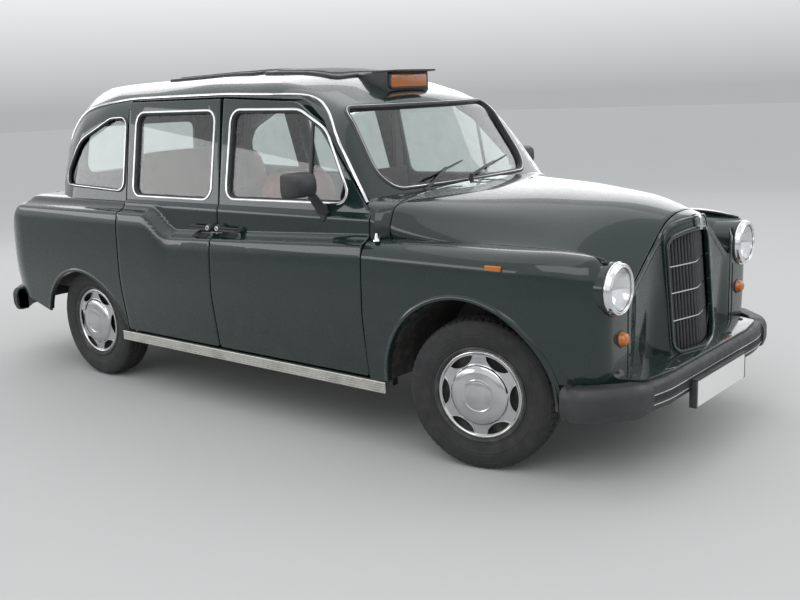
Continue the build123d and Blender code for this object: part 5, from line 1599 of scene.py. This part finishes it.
def sign_housing():
    """The roof sign's housing, level on top, with a thin brow over the lens."""
    rings = []
    for share in np.linspace(0, 1, 24):
        x = SIGN_START + (SIGN_LENS_X - SIGN_START) * share
        roof = float(roof_z([x], [0.12])[0])
        half = 0.085 + 0.083 * smooth_step(share, 0.0, 0.75)
        rings.append(ring_in_yz(x, half, roof - 0.03, max(SIGN_TOP - 0.006 * (1 - share), roof + 0.014),
                                0.012))
    brow = []
    for share in np.linspace(0, 1, 14):
        x = SIGN_LENS_X - 0.1 + (SIGN_BROW_X - SIGN_LENS_X + 0.1) * share
        brow.append(ring_in_yz(x, 0.168 - 0.006 * share ** 3, SIGN_TOP - 0.011 + 0.006 * share,
                               SIGN_TOP + 0.004, 0.004))
    return joined([loft(rings), loft(brow)])


def sign_lens():
    """The amber lens in the sign's front."""
    return bevelled(prism(rounded(SIGN_LENS, turn=12), 0, SIGN_LENS_X - 0.006, SIGN_LENS_X + 0.01), 0.004)


def sign_rim():
    """The black rim round the sign's lens."""
    flat = spaced(grown(rounded(SIGN_LENS, turn=12), 0.005), 0.008)
    path = np.column_stack([np.full(len(flat), SIGN_LENS_X + 0.002), flat])
    return sweep(path, FORWARD, oval(0.012, 0.016))


HATCHES = [
    # rear x, front x, half-width
    (C_SEAM - 0.15, B_SEAM - 0.18, 0.3), (B_SEAM - 0.14, B_SEAM + 0.42, 0.28)]


def hatch(rear, front, half):
    """A low hatch that follows the roof, with a raised border."""
    slabs = []
    for inset, thick in ((0.0, 0.016), (0.045, 0.021)):
        flat = rounded([(rear + inset, -half + inset, 0.05), (front - inset, -half + inset, 0.05),
                        (front - inset, half - inset, 0.05), (rear + inset, half - inset, 0.05)])
        slab = plate(flat, [], 0.0, thick, 0.004, (np.arange(rear + 0.03, front, 0.04),
                                                   np.arange(-half + 0.03, half, 0.04)))
        slabs.append(faced_out(reshaped(slab, lambda co: np.stack(
            [co[:, 0], co[:, 2], roof_z(co[:, 0], co[:, 2]) + thick - 0.004 + co[:, 1]], 1)), merge=True))
    return joined(slabs)


def screen_spot(y, z, out):
    """A point at a height out from the windscreen's glass."""
    sag = sqrt(PILLAR_RADIUS ** 2 - y ** 2) - PILLAR_RADIUS
    depth = (sag - GLASS_DEPTH + out) / cos(SCREEN_RAKE)
    return np.array((SCREEN_MIDDLE[0] - (z - SCREEN_MIDDLE[2]) * tan(SCREEN_RAKE) + depth, y, z))


SCREEN_OUT = np.array((cos(SCREEN_RAKE), 0.0, sin(SCREEN_RAKE)))
WIPERS = [
    # pivot x, y and top z, blade's lower end y and z, and upper end y and z
    (A_SEAM + 0.029, -0.404, 1.172, -0.35, 1.205, 0.005, 1.268),
    (A_SEAM + 0.053, -0.059, 1.213, 0.06, 1.208, 0.45, 1.262)]


def wiper(row):
    """One wiper: its arm with the pivot's cap, and its blade."""
    x, y, top, low_y, low_z, high_y, high_z = row
    share = np.linspace(0, 1, 13)
    line = np.array([screen_spot(low_y + (high_y - low_y) * s, low_z + (high_z - low_z) * s,
                                 0.0) for s in share])
    rubber = sweep(line + SCREEN_OUT * 0.01, SCREEN_OUT, oval(0.005, 0.017, 0, 8), closed=False)
    spine = sweep(line[1:-1] + SCREEN_OUT * 0.019, SCREEN_OUT, oval(0.008, 0.005, 0, 8), closed=False)
    middle = line[6] + SCREEN_OUT * 0.024
    start = np.array((x, y, top - 0.004))
    bow = np.linalg.norm(middle - start) * 0.06
    path = np.array([start + (middle - start) * s + SCREEN_OUT * bow * sin(pi * s)
                     for s in np.linspace(0, 1, 12)])
    arm = sweep(path, SCREEN_OUT, oval(0.014, 0.008, 0, 8), closed=False)
    ends = np.array([middle - SCREEN_OUT * 0.012, middle + SCREEN_OUT * 0.004])
    clip = sweep(ends, OUTWARD, oval(0.016, 0.016), closed=False)
    cap = lathe([(0, 6, 0), (10, 5, 4), (12, -40, 0), (0, -40, 0)], 40)
    return joined([arm, aimed(cap, (x, y, top), (0.2, 0, 1))]), joined([rubber, spine, clip])


SEAL_SECTION = [(-0.5, -0.026), (0.5, -0.026), (0.6, 0.001), (0.35, 0.006), (-0.35, 0.006), (-0.6, 0.001)]


def glass_seal(outline, facing, start, width):
    """The rubber that holds a fixed glass in the shell, and the bright line on it."""
    flat = spaced(grown(rounded(outline, turn=5.0), -0.25 * width), 0.02)
    points, outs = on_surface(cab_distance, flat, 0, facing, start)
    rubber = sweep(points, outs, [(u * width, v) for u, v in SEAL_SECTION])
    bright = sweep(points + outs * 0.0055, outs, oval(0.15 * width, 0.003, 0.001, 8))
    return rubber, bright


def quarter_trim():
    """The rubber and bright line round the rear quarter's window on the left."""
    flat = spaced(grown(rounded(QUARTER_WINDOW, turn=5.0), -0.004), 0.02)
    points, outs = on_surface(cab_distance, flat, 1, 1, 0.3)
    return sweep(points, outs, oval(0.02, 0.016, -0.002)), sweep(points, outs, oval(0.007, 0.007, 0.006, 8))


# Seats

def cushion(low, high, crown, axis, channels=(), roundness=5.0, cuts=22):
    """A closed pad that swells on its faces, pulled in along sewn channels across one axis."""
    low, high = np.array(low), np.array(high)
    work = bmesh.new()
    bmesh.ops.create_cube(work, size=2.0)
    bmesh.ops.subdivide_edges(work, edges=work.edges, cuts=cuts, use_grid_fill=True)
    co = np.array([v.co for v in work.verts])
    length = np.sum(np.abs(co) ** roundness, axis=1) ** (1 / roundness)
    co = co / length[:, None]
    swell = np.prod([1 - np.clip(np.abs(co[:, k]), 0, 1) ** 2.5 for k in range(3) if k != axis], axis=0)
    co[:, axis] *= 1 + crown * swell
    across = 1 if axis != 1 else 0
    for spot in channels:
        dip = np.exp(-((co[:, across] - spot) / 0.018) ** 2) * 0.16 * np.clip(swell * 3, 0, 1)
        co[:, axis] -= np.sign(co[:, axis]) * dip
    spots = (low + high) / 2 + co * (high - low) / 2
    for vertex, spot in zip(work.verts, spots):
        vertex.co = spot
    mesh = bpy.data.meshes.new("cushion")
    work.to_mesh(mesh)
    work.free()
    return linked("cushion", mesh)


def leaned(made, foot_z, lean, height):
    """Lean a seat's back: its top goes back by a lean over its height."""
    return reshaped(made, lambda co: co - (lean * (co[:, 2] - foot_z) / height)[:, None] * FORWARD)


def piping(y0, y1, x0, x1, z, radius=0.004):
    """The sewn piping round a cushion's top edge."""
    flat = spaced(rounded([(x0, y0, 0.06), (x1, y0, 0.06), (x1, y1, 0.06), (x0, y1, 0.06)]), 0.02)
    path = np.column_stack([flat, np.full(len(flat), z)])
    return sweep(path, UPWARD, oval(radius * 2, radius * 2, 0, 8))


def colour(name, description, default):
    """A colour that a user can change."""
    return bpy.props.FloatVectorProperty(name=name, description=description, subtype="COLOR", size=3,
                                         min=0, max=1, default=default)


def length(name, description, default):
    """A length that a user can change, in metres."""
    return bpy.props.FloatProperty(name=name, description=description, unit="LENGTH", precision=4,
                                   default=default, min=default * 0.4, max=default * 2.5)


def number(name, description, default, least, most):
    """A number of like parts that a user can change."""
    return bpy.props.IntProperty(name=name, description=description, default=default, min=least, max=most)


class CabLook(bpy.types.PropertyGroup):
    """Colours that a user would change."""
    paint: colour("Paint", "Colour of the coach paint", (0.0062, 0.017, 0.015))
    amber: colour("Amber", "Colour of the indicators and the roof sign's lens", (0.8, 0.22, 0.012))
    seat: colour("Seats", "Colour of the seat vinyl", (0.23, 0.018, 0.022))
    floor: colour("Floor", "Colour of the plain floor", (0.54, 0.54, 0.535))
    surround: colour("Surround", "Colour of the pale surround", (0.97, 0.985, 1.0))


class CabSizes(bpy.types.PropertyGroup):
    """Sizes and counts that a user would change."""
    trim_width: length("Window trim", "Width of the bright frames round the side windows", 0.013)
    seal_width: length("Glass seal", "Width of the rubber round the windscreen and the rear window", 0.022)
    drip_width: length("Drip rail", "Width of the bright gutter over the doors", 0.014)
    bead_width: length("Wing bead", "Width of the rubber bead between the bonnet and the wings", 0.009)
    panel_thickness: length("Panel", "Thickness of the bonnet, the wings and the nose", 0.012)
    grille_bars: number("Grille slats", "Number of upright slats in the grille", 18, 6, 30)
    cover_slots: number("Cover slots", "Number of slots in each wheel cover", 6, 3, 8)
    tread_blocks: number("Tread blocks", "Number of tread blocks round each tyre", 66, 30, 80)


class CAB_OT_stage(bpy.types.Operator):
    """Lay the floor, hang the softboxes and set the camera"""
    bl_idname = "cab.stage"
    bl_label = "Stage"

    def execute(self, context):
        look = context.scene.cab_look
        scene = context.scene
        scene.view_settings.view_transform = "Standard"
        make_floor(tuple(look.floor))
        pale_world(tuple(look.surround))
        for name, spot, size, watts, lights in SOFTBOXES:
            light = bpy.data.lights.new(name, "AREA")
            light.shape = "RECTANGLE"
            light.size, light.size_y = size
            light.energy = watts
            lamp = bpy.data.objects.new(name, light)
            scene.collection.objects.link(lamp)
            lamp.location = spot
            lamp.visible_camera, lamp.visible_diffuse = False, lights
            lamp.rotation_euler = (Vector((0, 0, 0.7)) - Vector(spot)).to_track_quat("-Z", "Y").to_euler()
        data = bpy.data.cameras.new("camera")
        data.sensor_width = SENSOR
        data.lens = FOCAL_PIXELS * SENSOR / PICTURE_WIDTH
        camera = bpy.data.objects.new("camera", data)
        scene.collection.objects.link(camera)
        camera.matrix_world = camera_matrix()
        scene.camera = camera
        return {"FINISHED"}


class CAB_OT_frame_finishes(bpy.types.Operator):
    """Give every node of the fixed frame its finish"""
    bl_idname = "cab.frame_finishes"
    bl_label = "Frame finishes"

    def execute(self, context):
        make_finishes(context.scene.cab_look)
        for name, node in frame["nodes"].items():
            finish = finishes[slot_of_node[name]]
            if not node.material_slots:
                node.data.materials.append(finish)
            for slot in node.material_slots:
                slot.material = finish
        return {"FINISHED"}


class CAB_OT_nose(bpy.types.Operator):
    """Form the pointed nose, its grille, the shelf and the lamps"""
    bl_idname = "cab.nose"
    bl_label = "Nose"

    def execute(self, context):
        sizes = context.scene.cab_sizes
        bead = on_nose(grille_ring(0.009), 0.001)
        rim = sweep(bead, FORWARD, oval(0.018, 0.012, 0.001))
        flat = spaced(frame_ring(), 0.012)
        edge = np.column_stack([grille_face(flat[:, 0], flat[:, 1]) - 0.002, flat])
        outline = sweep(edge, FORWARD, oval(0.009, 0.01))
        nose = joined([nose_panel(sizes.panel_thickness), rim, outline, shelf(), *lamp_pods()])
        dress(nose, "nose_panel", GREEN, "front_panel", angle=40)
        dress(grille_slats(sizes.grille_bars), "grille_slats", BLACK, "grille")
        dress(grille_rails(), "grille_rails", BRIGHT)
        lamp_y, lamp_z = FRONT_AXES["lamp"]
        for side, sign in (("left", 1), ("right", -1)):
            spot = (NOSE_FACE, sign * lamp_y, lamp_z)
            parts = [("bezel", lathe(LAMP_BEZEL), BRIGHT, "headlamp_rings"),
                     ("bowl", lathe(LAMP_BOWL), BRIGHT, ""), ("bulb", lathe(LAMP_BULB, 32), BRIGHT, ""),
                     ("lens", lathe(LAMP_LENS), "lamp_glass", "headlamp_lenses"),
                     ("gasket", lathe(LAMP_GASKET), BLACK, "")]
            for part, made, slot, stands_for in parts:
                nodes = stands_for if side == "left" else ""
                dress(aimed(made, spot), f"headlamp_{part}_{side}", slot, nodes)
        return {"FINISHED"}


class CAB_OT_tail(bpy.types.Operator):
    """Skin the rear wings, the deck and the boot lid, and close the boot at its sides"""
    bl_idname = "cab.tail"
    bl_label = "Tail"

    def execute(self, context):
        body, lid = tail_body()
        lip = arch_lip(REAR_ARCH, 0.378, tail_side)
        deck = box_of(REAR_AXLE - 0.6, REAR_AXLE - 0.225, -0.6, 0.6, WAIST - 0.018, WAIST - 0.0015)
        deck = bevelled(deck, 0.003)
        body = joined([body, deck, copied(lip, flip=True), lip])
        dress(body, "tail_body", GREEN, "tail_panel rear_wings", angle=40)
        dress(lid, "boot_lid_panel", GREEN, "boot_lid", "boot_lid_body", 40)
        sides = joined([bevelled(made, 0.002) for made in boot_sides()])
        dress(sides, "boot_side_panels", "cabin_trim")
        return {"FINISHED"}


class CAB_OT_wheels(bpy.types.Operator):
    """Fit the wheels' rims and bright covers, and the tyres"""
    bl_idname = "cab.wheels"
    bl_label = "Wheels and tyres"

    def execute(self, context):
        sizes = context.scene.cab_sizes
        models = {"tyre": tyre(sizes.tread_blocks), "rim": lathe(RIM_LINE, turn=20),
                  "cover": wheel_cover(sizes.cover_slots)}
        slots = {"tyre": "tyre_rubber", "rim": "chassis_black", "cover": "wheel_chrome"}
        for name in WHEELS:
            middle, outward = wheel_frame(name)
            for part, model in models.items():
                made = aimed(copied(model), middle, outward)
                stands_for = {"tyre": f"tyre_{name}", "cover": f"wheel_{name}", "rim": ""}[part]
                dress(made, f"{part}_of_{name}", slots[part], stands_for, f"wheel_{name}_body", 30)
        remove(*models.values())
        return {"FINISHED"}


class CAB_OT_bumpers(bpy.types.Operator):
    """Form the bumpers, their bright lines and the plate holder"""
    bl_idname = "cab.bumpers"
    bl_label = "Bumpers"

    def execute(self, context):
        section = [tuple(p) for p in rounded(BUMPER_SECTION, turn=15.0)]
        rib, spots = oval(0.0045, 0.006, -0.0045, 8), (-0.022, -0.015, -0.008, -0.001)
        bars = {}
        rows = (("front", FRONT_BUMPER_FACE, 0.29, 0.4), ("rear", -reach("rear_bumper", 0, 0), 0.25, 0.412))
        for name, face, depth, height in rows:
            bar = along_bumper(face, depth, height, section)
            ribs = [along_bumper(face, depth, height + spot, rib, 0.7) for spot in spots]
            lines = [along_bumper(face, depth, height + spot, oval(0.005, 0.005, 0, 8), 0.66, -0.001)
                     for spot in (-0.033, 0.007)]
            cap = bumper_cap(face, depth, height)
            bars[name] = joined([bar, copied(cap, flip=True), cap, *ribs]), joined(lines)
        for made in bars["rear"]:
            made.data.transform(Matrix.Rotation(pi, 4, "Z"))
        front = joined([bars["front"][0], plate_holder()])
        dress(front, "front_bumper_bar", BLACK, "front_bumper", angle=40)
        dress(bars["rear"][0], "rear_bumper_bar", BLACK, "rear_bumper", angle=40)
        for name in ("front", "rear"):
            dress(bars[name][1], f"{name}_bumper_lines", BRIGHT)
        return {"FINISHED"}


class CAB_OT_fittings(bpy.types.Operator):
    """Fit the door handles, locks, mirrors and small lamps"""
    bl_idname = "cab.fittings"
    bl_label = "Door fittings and small lamps"

    def execute(self, context):
        for door, (start, way) in HANDLES.items():
            body = door + "_{}_body"
            stands_for = "front_door_fittings_{}" if door == "front_door" else "rear_door_handle_{}"
            dress_pair(door_handle(start, way), door + "_pull_{}", BLACK, stands_for, body)
            dress_pair(door_lock(start, way), door + "_lock_{}", BRIGHT, body=body)
        body = "front_door_{}_body"
        dress_pair(window_divider(), "window_divider_{}", BLACK, body=body)
        dress_pair(mirror_head(), "mirror_head_{}", BLACK, body=body, angle=50)
        dress_pair(mirror_glass(), "mirror_glass_{}", BRIGHT, body=body)
        lamp_y, lamp_z = FRONT_AXES["indicator"]
        spots = [(NOSE_FACE - 0.002, sign * lamp_y, lamp_z) for sign in (-1, 1)]
        ambers = [aimed(lathe(AMBER_DOME, 64), spot) for spot in spots]
        x, z = FRONT_AXLE + 0.17, 0.917
        y = float(wing_side(np.array([(x, 0.0, z)]))[0])
        for sign in (-1, 1):
            low, high = sorted((sign * (y - 0.004), sign * (y + 0.012)))
            ambers.append(bevelled(box_of(x - 0.038, x + 0.038, low, high, z - 0.011, z + 0.011), 0.004, 3))
        dress(joined(ambers + [sign_lens()]), "amber_lamps", "amber_lens", "amber_lenses")
        rim = [(30, -3, 0), (36, -3, 0), (36, 4, 2), (32.2, 7, 2), (30, 4, 0)]
        rims = [aimed(lathe(rim, 64), spot) for spot in spots]
        dress(joined(rims), "indicator_rims", BLACK)
        return {"FINISHED"}


class CAB_OT_roof(bpy.types.Operator):
    """Fit the roof sign and the roof hatches"""
    bl_idname = "cab.roof"
    bl_label = "Roof sign and hatches"

    def execute(self, context):
        sign = joined([sign_housing(), sign_rim()])
        dress(sign, "roof_sign_housing", BLACK, "roof_sign", angle=40)
        hatches = joined([hatch(*row) for row in HATCHES])
        dress(hatches, "roof_hatch_lids", BLACK, "roof_hatches")
        return {"FINISHED"}


class CAB_OT_screens(bpy.types.Operator):
    """Seal the fixed glass and lay the wipers on the windscreen"""
    bl_idname = "cab.screens"
    bl_label = "Screens and wipers"

    def execute(self, context):
        width = context.scene.cab_sizes.seal_width
        dress(fixed_glass(), "fixed_panes", "window_glass", "fixed_glass")
        screen = glass_seal(SCREEN_OUTLINE, 1, 0.2, width)
        back = glass_seal(BACK_OUTLINE, -1, REAR_AXLE + 0.1, width)
        left = quarter_trim()
        right = [copied(made, flip=True) for made in left]
        for k, (part, slot) in enumerate((("seals", BLACK), ("seal_lines", BRIGHT))):
            dress(joined([screen[k], back[k], left[k], right[k]]), f"screen_{part}", slot)
        arms, blades = zip(*(wiper(row) for row in WIPERS))
        dress(joined(list(arms)), "wiper_arms", BLACK, "wipers")
        dress(joined(list(blades)), "wiper_blades", BLACK)
        return {"FINISHED"}


class CAB_OT_seats(bpy.types.Operator):
    """Upholster the driver's seat, the rear bench and the tip-up seats"""
    bl_idname = "cab.seats"
    bl_label = "Seats"

    def execute(self, context):
        partition = reach("partition", 0, 1)
        flutes = (-0.6, -0.3, 0.0, 0.3, 0.6)
        rows = [
            # name, x of the back's rear, front x, y low and high,
            # cushion's foot and top, back's top, lean, flutes
            ("driver_seat", partition + 0.11, partition + 0.6, -0.62, -0.13, 0.54, 0.69, 1.24, 0.07,
             (-0.35, 0.35)),
            ("rear_bench", REAR_AXLE + 0.11, REAR_AXLE + 0.56, -0.56, 0.56, 0.69, 0.84, 1.33, 0.09, flutes)]
        for name, x0, x1, y0, y1, foot, top, back_top, lean, lines in rows:
            squab = cushion((x0 + 0.09, y0, foot), (x1, y1, top), 0.1, 2, lines)
            back = cushion((x0, y0, foot + 0.02), (x0 + 0.125, y1, back_top), 0.16, 0, lines)
            back = leaned(back, foot, lean, back_top - foot)
            edge = piping(y0 + 0.012, y1 - 0.012, x0 + 0.11, x1 - 0.012, top - 0.022)
            dress(joined([squab, edge]), f"{name}_cushion", "seat_vinyl", "seats", angle=60)
            dress(back, f"{name}_back", "seat_vinyl", angle=60)
            low = 0.415 if name == "driver_seat" else 0.595
            pan = bevelled(box_of(x0 + 0.07, x1 - 0.05, y0 + 0.03, y1 - 0.03, low, foot + 0.004), 0.008)
            dress(pan, f"{name}_base", "cabin_trim")
        for side, y in (("right", -0.29), ("left", 0.29)):
            pad = cushion((partition - 0.09, y - 0.2, 0.52), (partition - 0.021, y + 0.2, 0.96), 0.1, 0)
            dress(pad, f"tip_seat_{side}", "seat_vinyl", angle=60)
        return {"FINISHED"}


def tail_lamp(side):
    """One upright tail lamp: its black base, its red lens and its amber top."""
    low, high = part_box("tail_lamps")
    y = side * (high[1] - 0.045)
    x, foot, top = low[0], low[2], high[2]
    base = bevelled(box_of(x + 0.022, high[0], y - 0.045, y + 0.045, foot, top), 0.008, 3)
    parts = []
    for z0, z1 in ((foot + 0.006, foot + 0.128), (foot + 0.131, top - 0.006)):
        parts.append(bevelled(box_of(x, x + 0.03, y - 0.039, y + 0.039, z0, z1), 0.01, 4))
    return base, *parts


class CAB_OT_tail_lamps(bpy.types.Operator):
    """Form the tail lamps and the plate lamp"""
    bl_idname = "cab.tail_lamps"
    bl_label = "Tail lamps"

    def execute(self, context):
        bases, reds, tops = zip(*(tail_lamp(side) for side in (1, -1)))
        dress(joined(list(reds)), "tail_lamp_lenses", "red_lens", "tail_lamps")
        dress(joined(list(tops)), "tail_lamp_tops", "amber_lens")
        dress(joined(list(bases)), "tail_lamp_bases", BLACK)
        x, z = reach("rear_plate", 0, 0), reach("rear_plate", 2, 1) + 0.026
        hood = bevelled(box_of(x - 0.004, x + 0.04, -0.115, 0.115, z - 0.016, z + 0.016), 0.008, 3)
        dress(hood, "plate_lamp", BRIGHT, body="boot_lid_body")
        return {"FINISHED"}


class CAB_OT_body_trim(bpy.types.Operator):
    """Lay the rubber beads, and fit the bonnet's catch, the shelf's bolts and the aerial's base"""
    bl_idname = "cab.body_trim"
    bl_label = "Body trim"

    def execute(self, context):
        beads = []
        width = context.scene.cab_sizes.bead_width
        for sign in (-1, 1):
            x = np.linspace(BONNET_START, BONNET_END - 0.01, 60)
            z = WING_TOP - 0.034 * np.clip((x - 1.86) / 0.27, 0, 1.2) ** 2 - 0.05 * 0.06 ** 2 - 0.003
            path = np.stack([x, sign * (seam_width(x) - 0.0035), z], 1)
            beads.append(sweep(path, UPWARD, oval(width, 0.01, 0, 8), closed=False))
            z = np.linspace(0.752, 0.462, 30)
            y = np.full(30, 0.5495)
            path = np.stack([nose_face(y, z) + 0.001, sign * y, z], 1)
            beads.append(sweep(path, FORWARD, oval(0.008, 0.01, 0, 8), closed=False))
        dress(joined(beads), "wing_beads", BLACK)
        grip = np.array([(2.15, 0, 1.058), (2.166, 0, 1.06), (2.182, 0, 1.046), (2.186, 0, 1.02),
                         (2.187, 0, 0.992)])
        grip = spaced(rounded([(x, z, 0.01) for x, _, z in grip], closed=False), 0.003, closed=False)
        path = np.column_stack([grip[:, 0] + 0.006, np.zeros(len(grip)), grip[:, 1]])
        handle = sweep(path, (1.0, 0.0, 0.6), oval(0.02, 0.009), closed=False)
        dress(handle, "bonnet_catch", BRIGHT)
        bolt = [(0, 6, 0), (8, 5, 3), (12, 0, 0), (0, 0, 0)]
        bolts = [aimed(lathe(bolt, 24), (x, sign * y, SHELF_Z[1]), (0, 0, 1))
                 for x, y in ((2.222, 0.285), (2.165, 0.575)) for sign in (-1, 1)]
        dress(joined(bolts), "shelf_bolts", "chassis_black")
        base = [(0, 36, 0), (5, 36, 2), (9, 14, 4), (15, 8, 3), (17, 0, 0), (0, 0, 0)]
        aerial = aimed(lathe(base, 40), (A_SEAM + 0.062, -0.815, WING_TOP - 0.003), (0, 0, 1))
        dress(aerial, "aerial_base", BRIGHT)
        return {"FINISHED"}


class CAB_PT_panel(bpy.types.Panel):
    """The cab's pieces and colours"""
    bl_idname = "CAB_PT_panel"
    bl_label = "Taxi cab"
    bl_space_type = "VIEW_3D"
    bl_region_type = "UI"
    bl_category = "Taxi cab"

    def draw(self, context):
        for group in (context.scene.cab_look, context.scene.cab_sizes):
            for name in group.bl_rna.properties.keys():
                if name not in ("rna_type", "name"):
                    self.layout.prop(group, name)
        for operator in OPERATORS:
            self.layout.operator(operator.bl_idname)


OPERATORS = (CAB_OT_stage, CAB_OT_frame_finishes, CAB_OT_side_panels, CAB_OT_front, CAB_OT_nose,
             CAB_OT_tail, CAB_OT_wheels, CAB_OT_bumpers, CAB_OT_fittings, CAB_OT_roof, CAB_OT_screens,
             CAB_OT_seats, CAB_OT_tail_lamps, CAB_OT_body_trim)
CLASSES = (CabLook, CabSizes, *OPERATORS, CAB_PT_panel)


def register():
    """Register the classes and hang the cab's settings on the scene."""
    for made in CLASSES:
        bpy.utils.register_class(made)
    bpy.types.Scene.cab_look = bpy.props.PointerProperty(type=CabLook)
    bpy.types.Scene.cab_sizes = bpy.props.PointerProperty(type=CabSizes)


def unregister():
    """Take the classes and settings away again."""
    del bpy.types.Scene.cab_look
    del bpy.types.Scene.cab_sizes
    for made in reversed(CLASSES):
        bpy.utils.unregister_class(made)


def main():
    """Make the stage and every piece."""
    register()
    for operator in OPERATORS:
        group, name = operator.bl_idname.split(".")
        getattr(getattr(bpy.ops, group), name)()


if __name__ == "__main__":
    main()
